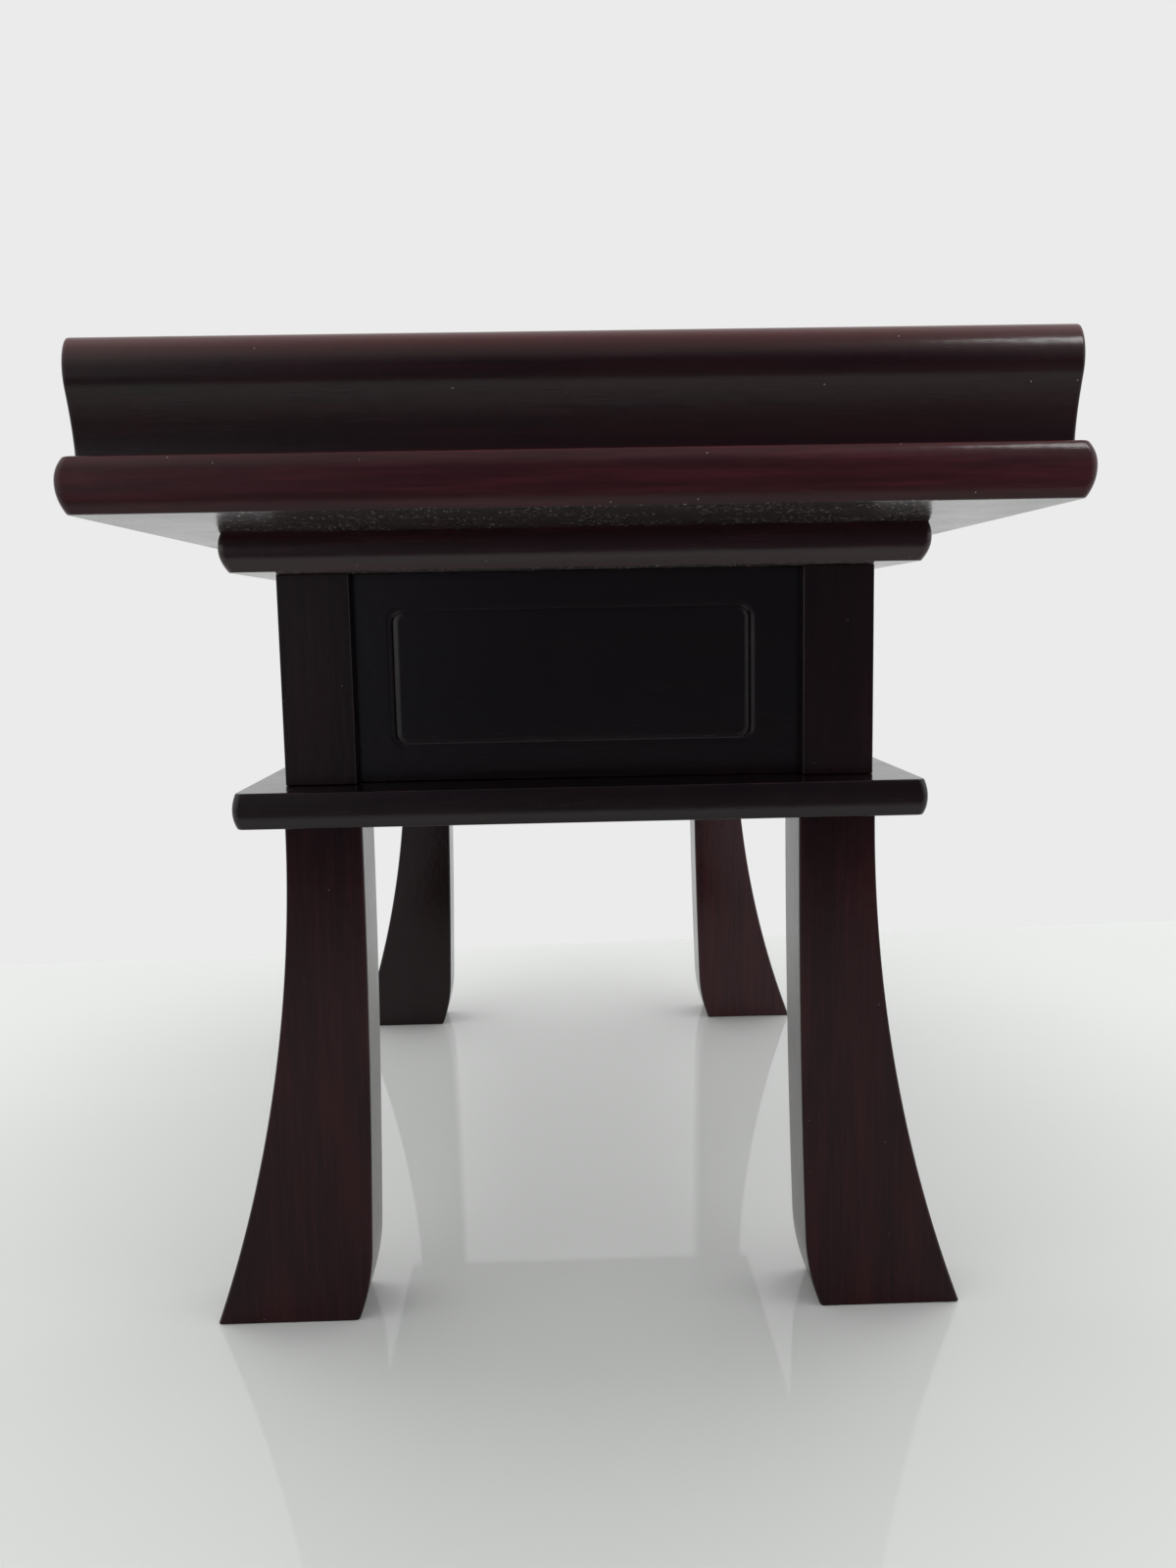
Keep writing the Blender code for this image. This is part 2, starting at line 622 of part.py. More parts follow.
def build_drawer_sides(end, slide):
    """Drawer sides, tongued into the front, grooved for the bottom and rebated for the back."""
    half = DRAWER_WIDTH / 2
    seat_y = FRONT_THICKNESS + SEAT
    for side, sign in ENDS:
        outline = (
            (half, seat_y),
            (half, DRAWER_LENGTH),
            (half - SIDE_THICKNESS, DRAWER_LENGTH),
            (half - SIDE_THICKNESS, seat_y - TONGUE_DEPTH),
            (half - SIDE_THICKNESS + TONGUE_THICKNESS, seat_y - TONGUE_DEPTH),
            (half - SIDE_THICKNESS + TONGUE_THICKNESS, seat_y),
        )
        rings = [[(sign * x, y, z) for x, y in outline] for z in (SEAT, SEAT + SIDE_HEIGHT)]
        board = add_part(f"drawer_side_{end}_{side}", loft(rings), DRAWER_WOOD, parent=slide)
        inner = half - SIDE_THICKNESS
        groove = SEAT + BOTTOM_RAISE
        xs = sorted((sign * (inner - OVERCUT), sign * (inner + BOTTOM_LET_IN)))
        low = (xs[0], -OVERCUT, groove)
        high = (xs[1], DRAWER_LENGTH + OVERCUT, groove + BOTTOM_THICKNESS + 2 * SEAT)
        cut(board, box(low, high))
        xs = sorted((sign * (inner - OVERCUT), sign * (inner + BACK_REBATE)))
        low = (xs[0], DRAWER_LENGTH - BACK_THICKNESS - SEAT, groove)
        high = (xs[1], DRAWER_LENGTH + OVERCUT, SEAT + SIDE_HEIGHT + OVERCUT)
        cut(board, box(low, high))


def build_drawer_back_and_bottom(end, slide):
    """The bottom, slid in under the back, and the back in its rebates."""
    inner = DRAWER_WIDTH / 2 - SIDE_THICKNESS
    bottom_z = BOTTOM_RAISE + 2 * SEAT
    wide = inner + BOTTOM_LET_IN - SEAT
    low = (-wide, FRONT_THICKNESS - BOTTOM_LET_IN + SEAT, bottom_z)
    high = (wide, DRAWER_LENGTH, bottom_z + BOTTOM_THICKNESS)
    add_part(f"drawer_bottom_{end}", box(low, high), DRAWER_WOOD, parent=slide)
    wide = inner + BACK_REBATE - SEAT
    low = (-wide, DRAWER_LENGTH - BACK_THICKNESS, bottom_z + BOTTOM_THICKNESS + SEAT)
    high = (wide, DRAWER_LENGTH, SEAT + SIDE_HEIGHT)
    add_part(f"drawer_back_{end}", box(low, high), DRAWER_WOOD, parent=slide)


def knob_profile():
    """A turned knob: a foot, a waisted neck and a domed head, from its seat outwards."""
    neck_start = KNOB_FOOT_HEIGHT + KNOB_FOOT_RADIUS - KNOB_NECK_RADIUS
    profile = [(KNOB_FOOT_RADIUS, 0.0), (KNOB_FOOT_RADIUS, KNOB_FOOT_HEIGHT)]
    profile.append((KNOB_NECK_RADIUS, neck_start))
    start = -math.acos(KNOB_NECK_RADIUS / KNOB_RADIUS)
    half_head = (KNOB_REACH - KNOB_NECK_HEIGHT) / (1 - math.sin(start))
    for step in range(ROLL_STEPS):
        angle = start + (math.pi / 2 - start) * step / ROLL_STEPS
        rise = KNOB_REACH - half_head * (1 - math.sin(angle))
        profile.append((KNOB_RADIUS * math.cos(angle), rise))
    return profile


def build_knob(end, slide, height):
    """The knob on the drawer's front and the screw that holds it from inside."""
    turn = facing("front")
    knob = add_part(
        f"drawer_knob_{end}",
        turned(knob_profile(), ROUND_SIDES),
        LACQUER,
        (0, -SEAT, SEAT + height / 2),
        turn,
        slide,
    )
    cut(knob, bore(KNOB_SCREW_RADIUS, -OVERCUT, KNOB_SCREW_BITE + SEAT))
    seat = -FRONT_THICKNESS - SEAT
    profile = (
        (KNOB_SCREW_HEAD_RADIUS, seat - KNOB_SCREW_HEAD),
        (KNOB_SCREW_HEAD_RADIUS, seat),
        (KNOB_SCREW_RADIUS, seat),
        (KNOB_SCREW_RADIUS, KNOB_SCREW_BITE),
    )
    shape = turned(profile, DOWEL_SIDES)
    add_part(f"knob_screw_{end}", shape, STEEL, (0, 0, SEAT + height / 2), turn, slide)


def build_drawers():
    """Each drawer hangs on an empty at the foot of its front, which slides along Y."""
    for end, sign in ENDS:
        slide = bpy.data.objects.new(f"drawer_slide_{end}", None)
        bpy.context.scene.collection.objects.link(slide)
        slide.location = (sign * DRAWER_X, -DRAWER_FACE, CASE_FLOOR)
        height = build_drawer_front(end, slide)
        build_drawer_sides(end, slide)
        build_drawer_back_and_bottom(end, slide)
        build_knob(end, slide, height)


def main():
    """Builds the desk from the floor up."""
    clear_scene()
    build_legs()
    build_case_boards()
    build_posts()
    build_panels()
    build_case_inside()
    build_drawers()
    build_top_screws()
    build_top()
    build_lips()


main()
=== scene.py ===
"""Looks of a low lacquered offering desk, built over its packed construction.

Metres, with the floor at z = 0, X along the desk and the drawers facing -Y. Each piece that shows is
modelled here over the solid that it stands for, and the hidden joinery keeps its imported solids.
"""

from __future__ import annotations

import logging
import math
from collections.abc import Callable, Iterator, Mapping, Sequence
from contextlib import contextmanager
from dataclasses import dataclass, field
from enum import Enum
from functools import partial, reduce
from typing import Any

import bmesh
import bpy
from mathutils import Matrix, Vector

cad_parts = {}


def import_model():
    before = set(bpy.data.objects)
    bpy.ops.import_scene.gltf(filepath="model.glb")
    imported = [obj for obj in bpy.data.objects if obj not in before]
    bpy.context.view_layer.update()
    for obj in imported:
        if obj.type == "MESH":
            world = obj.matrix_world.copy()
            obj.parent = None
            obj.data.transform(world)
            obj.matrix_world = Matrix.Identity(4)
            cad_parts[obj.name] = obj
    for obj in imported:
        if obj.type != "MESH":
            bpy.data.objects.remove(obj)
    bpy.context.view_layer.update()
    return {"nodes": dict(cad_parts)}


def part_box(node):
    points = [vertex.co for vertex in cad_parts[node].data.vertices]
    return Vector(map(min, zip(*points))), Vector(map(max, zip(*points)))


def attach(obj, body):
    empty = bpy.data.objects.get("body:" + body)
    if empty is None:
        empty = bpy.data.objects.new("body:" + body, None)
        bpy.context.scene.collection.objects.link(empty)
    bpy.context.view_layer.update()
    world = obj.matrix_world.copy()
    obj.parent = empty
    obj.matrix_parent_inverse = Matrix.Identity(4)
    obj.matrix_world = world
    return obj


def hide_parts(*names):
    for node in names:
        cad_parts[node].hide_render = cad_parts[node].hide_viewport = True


LOG = logging.getLogger("offering_desk")

Piece = bpy.types.Object
Socket = bpy.types.NodeSocket
Pair = tuple[float, float]
Triple = tuple[float, float, float]
Colour = Triple

UP = Vector((0, 0, 1))
FRONTWARDS = Vector((0, -1, 0))
SEAT = 0.0003
CLOSE_FIT = Vector((0, 0, 0.00025))
OVERCUT = 0.01
TOUCH = 1e-6
FACING = 0.999
FLAT_ANGLE = math.radians(1)
SMOOTH_ANGLE = math.radians(40)


class Named(Enum):
    """Options whose names serve in the names of nodes and materials."""

    @property
    def word(self) -> str:
        """The option's name in small letters."""
        return self.name.lower()


class Grain(Named):
    """Axis along which a piece's wood runs."""

    ALONG_X = 0
    ALONG_Y = 1
    ALONG_Z = 2
    BANDED = 3


@dataclass(frozen=True)
class Coat:
    """How a piece's lacquer is drawn: one stain, scaled lighter or darker per piece as painted light and
    shade.

    Attributes:
        red: How far the stain's colours are scaled on this piece: painted light and shade, darker where
            the piece stands in shade and redder where light falls on it.
        sheen: Specular level of the lacquer.
        toplight: How far the faces that look up are painted redder and lighter: painted light from
            above.
        streak: Length and width of the grain's fine streaks.
        patch: Length and width of the patches in which the stain took more or less.
    """

    red: float
    sheen: float
    fading: float = 0.0
    streak: Pair = (0.048, 0.0021)
    patch: Pair = (0.420, 0.0190)


class Tone(Named):
    """The coats that differ from piece to piece: one lacquer, painted lighter or darker per piece as
    painted light and shade.
    """

    CRIMSON = Coat(red=0.97, sheen=0.23, fading=0.20)
    RUSSET = Coat(red=0.70, sheen=0.39)
    CURL = Coat(red=0.27, sheen=0.30, fading=0.80)
    PLAIN = Coat(red=0.44, sheen=0.175, streak=(0.034, 0.0012), patch=(0.060, 0.0130))
    DARK = Coat(red=0.23, sheen=0.33)
    BLACK = Coat(red=0.12, sheen=0.36)


class Underside(Enum):
    """How pale a lacquered piece is painted underneath: overspray grit, and a pale haze on the faces
    that look down which is partly dust and partly painted light.
    """

    CLEAN = 0.0
    DUSTY_AND_LIT = 1.0
    PALE = 3.4


class Slot(Enum):
    """Material slots of the record."""

    LACQUER = "lacquer"
    DRAWER_WOOD = "drawer_wood"
    CASE_WOOD = "case_wood"
    DOWEL_WOOD = "dowel_wood"
    SCREW_STEEL = "screw_steel"


class End(Named):
    """Ends of the desk, with the sign of X at each."""

    RIGHT = 1
    LEFT = -1


class Side(Named):
    """Long sides of the desk, with the sign of Y at each."""

    FRONT = -1
    BACK = 1


CORNERS = tuple((side, end) for side in Side for end in End)


class ShaderGraph:
    """A material's node tree, built one node at a time."""

    MIX_VECTORS = (4, 5)
    MIX_COLOURS = (6, 7)
    MIXED_VECTOR = 1
    MIXED_COLOUR = 2
    END_FACE = 0.6
    SPECK_CORE = 0.5
    FLAT_TO_SHARP = (0.985, 0.86)
    EDGE_SAMPLES = 4

    def __init__(self, tree: bpy.types.NodeTree) -> None:
        """Takes over the node tree of a material or of the world, and empties it."""
        self.tree = tree
        self.tree.nodes.clear()

    def feed(self, socket: Socket, value: Any) -> None:
        """Links a socket to another, or sets its own value.

        Args:
            socket: The input socket.
            value: Another node's output socket, or a plain value.
        """
        if isinstance(value, Socket):
            self.tree.links.new(value, socket)
        else:
            socket.default_value = value

    def add(self, kind: str, inputs: Mapping[Any, Any] | None = None, **settings: Any) -> bpy.types.Node:
        """Adds a node.

        Args:
            kind: The node's type name.
            inputs: Values or sockets for its inputs, by name or number.
            settings: Its own properties.

        Returns:
            The new node.
        """
        node = self.tree.nodes.new(kind)
        for key, value in settings.items():
            setattr(node, key, value)
        for key, value in (inputs or {}).items():
            self.feed(node.inputs[key], value)
        return node

    def math(self, operation: str, first: Any, second: Any = 0.0) -> Socket:
        """Combines two numbers or sockets by an operation of the Math node."""
        return self.add("ShaderNodeMath", {0: first, 1: second}, operation=operation).outputs[0]

    def total(self, *parts: tuple[Socket, float]) -> Socket:
        """Adds up numbers, each given with its weight."""
        terms = [self.math("MULTIPLY", value, weight) for value, weight in parts]
        return reduce(partial(self.math, "ADD"), terms)

    def ramp(self, value: Any, limits: Pair, results: Pair = (0.0, 1.0)) -> Socket:
        """Eases a number from one result to another.

        Args:
            value: The number's socket.
            limits: Where the change begins and where it ends.
            results: The result before the change and after it.

        Returns:
            The result's socket.
        """
        inputs = {"Value": value, "From Min": limits[0], "From Max": limits[1]}
        inputs |= {"To Min": results[0], "To Max": results[1]}
        return self.add("ShaderNodeMapRange", inputs, interpolation_type="SMOOTHSTEP").outputs[0]

    def tint(self, share: Any, first: Any, second: Any) -> Socket:
        """Mixes two colours.

        Args:
            share: How much of the second shows.
            first: A colour or a socket.
            second: A colour or a socket.

        Returns:
            The mixed colour's socket.
        """
        inputs = {0: share}
        for number, colour in zip(self.MIX_COLOURS, (first, second)):
            inputs[number] = colour if isinstance(colour, Socket) else (*colour, 1.0)
        return self.add("ShaderNodeMix", inputs, data_type="RGBA").outputs[self.MIXED_COLOUR]

    def noise(self, place: Socket, detail: float = 2.0, roughness: float = 0.5) -> Socket:
        """Adds a noise, about 0.5 on average, whose scale comes from its coordinates."""
        inputs = {"Vector": place, "Scale": 1.0, "Detail": detail, "Roughness": roughness}
        return self.add("ShaderNodeTexNoise", inputs).outputs[0]

    def cloud(self, scale: float, detail: float = 2.0, roughness: float = 0.5) -> Socket:
        """Adds a noise that has one scale, in marks per metre, in every direction."""
        return self.noise(self.place([scale] * 3), detail, roughness)

    def place(self, scale: Sequence[float], offset: Sequence[float] = (0, 0, 0)) -> Socket:
        """Gives the piece's own coordinates, scaled.

        Args:
            scale: Scale on each axis.
            offset: Shift after scaling.

        Returns:
            The coordinates' socket.
        """
        source = self.add("ShaderNodeTexCoord").outputs["Object"]
        inputs = {"Vector": source, "Scale": tuple(scale), "Location": tuple(offset)}
        return self.add("ShaderNodeMapping", inputs).outputs[0]

    def facing(self, axis: str) -> Socket:
        """Gives how far a face looks along an axis, from -1 to 1."""
        normal = self.add("ShaderNodeNewGeometry").outputs["Normal"]
        return self.add("ShaderNodeSeparateXYZ", {0: normal}).outputs[axis]

    def along(self, grain: Grain, length: float, width: float) -> Socket:
        """Gives coordinates for marks that are drawn out along the grain.

        Args:
            grain: The grain's axis.
            length: Length of one mark.
            width: Width of one mark.

        Returns:
            The coordinates' socket.
        """
        if grain is Grain.BANDED:
            on_end = self.math("GREATER_THAN", self.math("ABSOLUTE", self.facing("X")), self.END_FACE)
            inputs = {0: on_end}
            for number, axis in zip(self.MIX_VECTORS, (Grain.ALONG_X, Grain.ALONG_Y)):
                inputs[number] = self.along(axis, length, width)
            return self.add("ShaderNodeMix", inputs, data_type="VECTOR").outputs[self.MIXED_VECTOR]
        scale = [1.0 / width] * 3
        scale[grain.value] = 1.0 / length
        return self.place(scale)

    def specks(self, spacing: float, size: float, share: float) -> Socket:
        """Scatters small round marks.

        Args:
            spacing: Distance between the places where a mark may lie.
            size: Radius of a mark.
            share: Share of the places that have one.

        Returns:
            A mask's socket, 1 on a mark.
        """
        inputs = {"Vector": self.place([1.0 / spacing] * 3), "Scale": 1.0}
        cells = self.add("ShaderNodeTexVoronoi", inputs)
        edge = size / spacing
        dot = self.ramp(cells.outputs["Distance"], (edge, self.SPECK_CORE * edge))
        chance = self.add("ShaderNodeSeparateColor", {0: cells.outputs["Color"]}).outputs[0]
        return self.math("MULTIPLY", dot, self.math("GREATER_THAN", chance, 1.0 - share))

    def worn_edges(self, radius: float) -> Socket:
        """Finds the arrises of a piece.

        Args:
            radius: How wide an edge counts.

        Returns:
            A mask's socket, near 1 along sharp edges.
        """
        rounded = self.add("ShaderNodeBevel", {"Radius": radius}, samples=self.EDGE_SAMPLES).outputs[0]
        flat = self.add("ShaderNodeNewGeometry").outputs["Normal"]
        likeness = self.add("ShaderNodeVectorMath", {0: rounded, 1: flat}, operation="DOT_PRODUCT")
        return self.ramp(likeness.outputs["Value"], self.FLAT_TO_SHARP)

    def bump(self, height: Socket, strength: float, distance: float) -> Socket:
        """Gives the normals of a surface that follows a height."""
        inputs = {"Strength": strength, "Distance": distance, "Height": height}
        return self.add("ShaderNodeBump", inputs).outputs[0]

    def surface(self, shader: bpy.types.Node, kind: str = "ShaderNodeOutputMaterial") -> None:
        """Sends the last shader to an output of a kind."""
        self.add(kind, {"Surface": shader.outputs[0]})


def new_material(name: str) -> tuple[bpy.types.Material, ShaderGraph]:
    """Makes a node material.

    Args:
        name: The material's name.

    Returns:
        The material and its empty graph.
    """
    material = bpy.data.materials.new(name)
    material.use_nodes = True
    return material, ShaderGraph(material.node_tree)


@dataclass(frozen=True)
class Lacquer:
    """Dark red-brown lacquer over fine straight grain, semi-gloss, a little dusty, with painted light:
    faces that look up painted redder, arrises partly painted lighter, undersides partly painted pale.

    A noise is given by its detail and roughness, a cloud by its scale before them, a size by length and
    width along the grain, and a range by where a change begins and ends.
    """

    deep: Colour = (0.022, 0.0049, 0.0068)
    warm: Colour = (0.050, 0.0102, 0.0138)
    pore: Colour = (0.009, 0.0032, 0.0038)
    worn: Colour = (0.150, 0.0560, 0.0460)
    dust: Colour = (0.420, 0.380, 0.340)
    painted_toplight: Colour = (0.068, 0.0170, 0.0170)
    haze_and_painted_light: Colour = (0.030, 0.0250, 0.0245)
    streak_noise: Pair = (4.0, 0.66)
    streak_share: float = 0.55
    figure_range: Pair = (0.36, 0.64)
    fading_range: Pair = (0.05, 0.85)
    pore_size: Pair = (0.0110, 0.00055)
    pore_detail: float = 1.0
    pore_range: Pair = (0.64, 0.74)
    pore_strength: float = 0.25
    edge_width: float = 0.0011
    wear_cloud: Triple = (55.0, 3.0, 0.5)
    wear_range: Pair = (0.44, 0.70)
    wear_strength: float = 0.22
    dust_specks: Triple = (0.004, 0.00026, 0.22)
    dust_strength: float = 0.46
    underside_range: Pair = (-0.72, -0.95)
    drift_cloud: Triple = (60.0, 3.0, 0.60)
    drift_range: Pair = (0.36, 0.62)
    drift_strength: Pair = (0.12, 0.60)
    grit_cloud: Triple = (680.0, 3.0, 0.70)
    grit_range: Pair = (0.57, 0.67)
    gloss_scale: float = 31.0
    gloss_shift: Triple = (3.1, 1.7, 0.4)
    gloss_noise: Pair = (3.0, 0.6)
    gloss_range: Pair = (0.30, 0.72)
    roughness: Pair = (0.15, 0.20)
    dulling: float = 0.30
    refraction: float = 1.5
    flow_cloud: Triple = (210.0, 1.0, 0.5)
    streak_height: float = 0.20
    flow_height: float = 0.45
    pore_height: float = -0.12
    bump_strength: float = 0.10
    bump_distance: float = 0.0012

    def material(self, grain: Grain, tone: Tone, underside: Underside) -> bpy.types.Material:
        """Makes the finish for pieces of one grain direction and tone.

        Args:
            grain: The grain's axis.
            tone: How red the pieces are.
            underside: How pale the pieces are painted underneath, partly dust and partly painted light.

        Returns:
            The material.
        """
        material, graph = new_material(f"lacquer_{grain.word}_{tone.word}")
        coat = tone.value
        streaks = graph.noise(graph.along(grain, *coat.streak), *self.streak_noise)
        patches = graph.noise(graph.along(grain, *coat.patch))
        figure = graph.total((streaks, self.streak_share), (patches, 1 - self.streak_share))
        # Painted light and shade: the stain's colours are scaled per piece by its tone.
        deep, warm = (tuple(part * coat.red for part in colour) for colour in (self.deep, self.warm))
        wood = graph.tint(graph.ramp(figure, self.figure_range), deep, warm)
        rise = graph.facing("Z")
        # Painted light from above: faces that look up are painted redder and lighter.
        wood = graph.tint(graph.ramp(rise, self.fading_range, (0.0, coat.fading)), wood, self.painted_toplight)
        pores = graph.noise(graph.along(grain, *self.pore_size), self.pore_detail)
        pores = graph.ramp(pores, self.pore_range)
        wood = graph.tint(graph.math("MULTIPLY", pores, self.pore_strength), wood, self.pore)
        # Lighter arrises in patches: partly worn lacquer, partly a painted highlight along the edges.
        patchy = graph.ramp(graph.cloud(*self.wear_cloud), self.wear_range)
        edges = graph.math("MULTIPLY", graph.worn_edges(self.edge_width), patchy)
        wear_and_highlight = graph.math("MULTIPLY", edges, self.wear_strength)
        wood = graph.tint(wear_and_highlight, wood, self.worn)
        dust = graph.math("MULTIPLY", graph.specks(*self.dust_specks), self.dust_strength)
        # Faces that look down take a pale haze: partly dust, partly painted light and reflection under
        # the boards.
        if underside is not Underside.CLEAN:
            below = graph.ramp(rise, self.underside_range)
            haze_and_painted_light = tuple(part * underside.value for part in self.haze_and_painted_light)
            wood = graph.tint(below, wood, haze_and_painted_light)
            dust = graph.math("MAXIMUM", dust, graph.math("MULTIPLY", self.overspray(graph), below))
        wood = graph.tint(dust, wood, self.dust)
        gloss = graph.noise(graph.place([self.gloss_scale] * 3, self.gloss_shift), *self.gloss_noise)
        dull = graph.math("MULTIPLY", graph.math("MAXIMUM", wear_and_highlight, dust), self.dulling)
        rough = graph.math("ADD", graph.ramp(gloss, self.gloss_range, self.roughness), dull)
        inputs = {"Base Color": wood, "Roughness": rough, "Normal": self.relief(graph, streaks, pores)}
        inputs |= {"IOR": self.refraction, "Specular IOR Level": coat.sheen}
        graph.surface(graph.add("ShaderNodeBsdfPrincipled", inputs))
        return material

    def overspray(self, graph: ShaderGraph) -> Socket:
        """Finds the fine pale grit that the spraying left on an underside.

        Args:
            graph: The material's graph.

        Returns:
            A mask's socket, larger on a grain.
        """
        drift = graph.ramp(graph.cloud(*self.drift_cloud), self.drift_range, self.drift_strength)
        grains = graph.ramp(graph.cloud(*self.grit_cloud), self.grit_range)
        return graph.math("MULTIPLY", grains, drift)

    def relief(self, graph: ShaderGraph, streaks: Socket, pores: Socket) -> Socket:
        """Gives the normals of the faint grain and flow of the sprayed surface.

        Args:
            graph: The material's graph.
            streaks: The fine grain.
            pores: The pores' mask.

        Returns:
            The normals' socket.
        """
        height = graph.total(
            (streaks, self.streak_height),
            (graph.cloud(*self.flow_cloud), self.flow_height),
            (pores, self.pore_height),
        )
        return graph.bump(height, self.bump_strength, self.bump_distance)


@dataclass(frozen=True)
class BareWood:
    """Planed wood without a finish."""

    name: str
    pale: Colour
    dark: Colour
    ring: float
    roughness: float
    bend_size: Pair = (0.260, 0.034)
    bend_share: float = 0.15
    ring_length: float = 0.300
    ring_noise: Pair = (2.0, 0.55)
    ring_share: float = 0.60
    fibre_size: Pair = (0.020, 0.00045)
    fibre_noise: Pair = (3.0, 0.65)
    fibre_share: float = 0.25
    fibre_range: Pair = (0.30, 0.75)
    smoother: float = 0.08
    rougher: float = 0.10
    figure_range: Pair = (0.34, 0.66)
    edge_width: float = 0.0010
    edge_strength: float = 0.22
    bump_strength: float = 0.22
    bump_distance: float = 0.0006

    def material(self, grain: Grain) -> bpy.types.Material:
        """Makes the finish for pieces of one grain direction.

        Args:
            grain: The grain's axis.

        Returns:
            The material.
        """
        material, graph = new_material(f"{self.name}_{grain.word}")
        bend = graph.noise(graph.along(grain, *self.bend_size))
        rings = graph.noise(graph.along(grain, self.ring_length, self.ring), *self.ring_noise)
        fibre = graph.noise(graph.along(grain, *self.fibre_size), *self.fibre_noise)
        shares = (rings, self.ring_share), (fibre, self.fibre_share), (bend, self.bend_share)
        figure = graph.total(*shares)
        wood = graph.tint(graph.ramp(figure, self.figure_range), self.pale, self.dark)
        edges = graph.math("MULTIPLY", graph.worn_edges(self.edge_width), self.edge_strength)
        wood = graph.tint(edges, wood, self.dark)
        spread = (self.roughness - self.smoother, self.roughness + self.rougher)
        rough = graph.ramp(fibre, self.fibre_range, spread)
        bump = graph.bump(graph.math("ADD", fibre, rings), self.bump_strength, self.bump_distance)
        inputs = {"Base Color": wood, "Roughness": rough, "Normal": bump}
        graph.surface(graph.add("ShaderNodeBsdfPrincipled", inputs))
        return material


@dataclass(frozen=True)
class ZincSteel:
    """Zinc-plated steel of small screws."""

    bright: Colour = (0.60, 0.60, 0.58)
    dull: Colour = (0.42, 0.42, 0.41)
    turning_scale: Triple = (900.0, 120.0, 900.0)
    turning_detail: float = 3.0
    turning_range: Pair = (0.30, 0.75)
    stain_scale: float = 260.0
    stain_range: Pair = (0.38, 0.70)
    roughness: Pair = (0.22, 0.46)
    bump_strength: float = 0.15
    bump_distance: float = 0.0003

    def material(self) -> bpy.types.Material:
        """Makes the finish."""
        material, graph = new_material("zinc_steel")
        turning = graph.noise(graph.place(self.turning_scale), self.turning_detail)
        stain = graph.ramp(graph.cloud(self.stain_scale), self.stain_range)
        metal = graph.tint(stain, self.bright, self.dull)
        rough = graph.ramp(turning, self.turning_range, self.roughness)
        bump = graph.bump(turning, self.bump_strength, self.bump_distance)
        inputs = {"Base Color": metal, "Roughness": rough, "Normal": bump, "Metallic": 1.0}
        graph.surface(graph.add("ShaderNodeBsdfPrincipled", inputs))
        return material


@dataclass(frozen=True)
class Section:
    """A level rectangle that a solid passes through."""

    low: Pair
    high: Pair
    z: float

    @property
    def centre(self) -> Vector:
        """Middle of the rectangle."""
        return Vector(((self.low[0] + self.high[0]) / 2, (self.low[1] + self.high[1]) / 2, self.z))

    @property
    def size(self) -> Vector:
        """Length and depth of the rectangle, with 1 for its height."""
        return Vector((self.high[0] - self.low[0], self.high[1] - self.low[1], 1.0))


def select_only(piece: Piece) -> None:
    """Selects one piece, makes it the active one and deselects the others.

    Args:
        piece: The piece.
    """
    bpy.ops.object.select_all(action="DESELECT")
    piece.select_set(True)
    bpy.context.view_layer.objects.active = piece


@contextmanager
def editing(piece: Piece) -> Iterator[None]:
    """Holds one piece in edit mode.

    Args:
        piece: The piece to edit.
    """
    select_only(piece)
    bpy.ops.object.mode_set(mode="EDIT")
    bpy.ops.mesh.select_mode(type="FACE")
    yield
    bpy.ops.object.mode_set(mode="OBJECT")


def pick_faces(piece: Piece, wanted: Callable[[bmesh.types.BMFace], bool]) -> None:
    """Selects faces of the piece in edit mode, and nothing else.

    Args:
        piece: The piece in edit mode.
        wanted: Says whether a face is selected.
    """
    bpy.ops.mesh.select_all(action="DESELECT")
    shape = bmesh.from_edit_mesh(piece.data)
    for face in shape.faces:
        if wanted(face):
            face.select_set(True)
    bmesh.update_edit_mesh(piece.data)


def point_outwards(piece: Piece) -> None:
    """Turns all faces of a closed piece outwards.

    Args:
        piece: The piece.
    """
    with editing(piece):
        bpy.ops.mesh.select_all(action="SELECT")
        bpy.ops.mesh.normals_make_consistent(inside=False)


def apply_modifier(piece: Piece, kind: str, **settings: Any) -> None:
    """Adds a modifier to a piece and applies it.

    Args:
        piece: The piece.
        kind: The modifier's type name.
        settings: Its properties.
    """
    select_only(piece)
    modifier = piece.modifiers.new(kind.lower(), kind)
    for key, value in settings.items():
        setattr(modifier, key, value)
    bpy.ops.object.modifier_apply(modifier=modifier.name)


def ease_edges(piece: Piece, width: float, steps: int = 3) -> None:
    """Rounds the sharp edges of a piece to a width, in a number of facets."""
    limit = {"limit_method": "ANGLE", "angle_limit": SMOOTH_ANGLE}
    apply_modifier(piece, "BEVEL", width=width, segments=steps, **limit)


def smooth(piece: Piece) -> None:
    """Shades a piece smooth between its sharp edges.

    Args:
        piece: The piece.
    """
    select_only(piece)
    bpy.ops.object.shade_smooth_by_angle(angle=SMOOTH_ANGLE)
    apply_modifier(piece, "WEIGHTED_NORMAL", keep_sharp=True)


def take_up(name: str) -> Piece:
    """Names the primitive that was just added, and sets its place and size into its mesh.

    Args:
        name: The piece's name.

    Returns:
        The new piece.
    """
    piece = bpy.context.object
    piece.name = name
    bpy.ops.object.transform_apply(location=True, rotation=True, scale=True)
    return piece


def start_block(name: str, low: Vector, high: Vector) -> Piece:
    """Adds a cube at its size and place.

    Args:
        name: The piece's name.
        low: Its lowest corner.
        high: Its highest corner.

    Returns:
        The new piece.
    """
    centre = (low + high) / 2
    bpy.ops.mesh.primitive_cube_add(size=1.0, location=centre)
    bpy.ops.transform.resize(value=high - low, center_override=centre)
    return take_up(name)


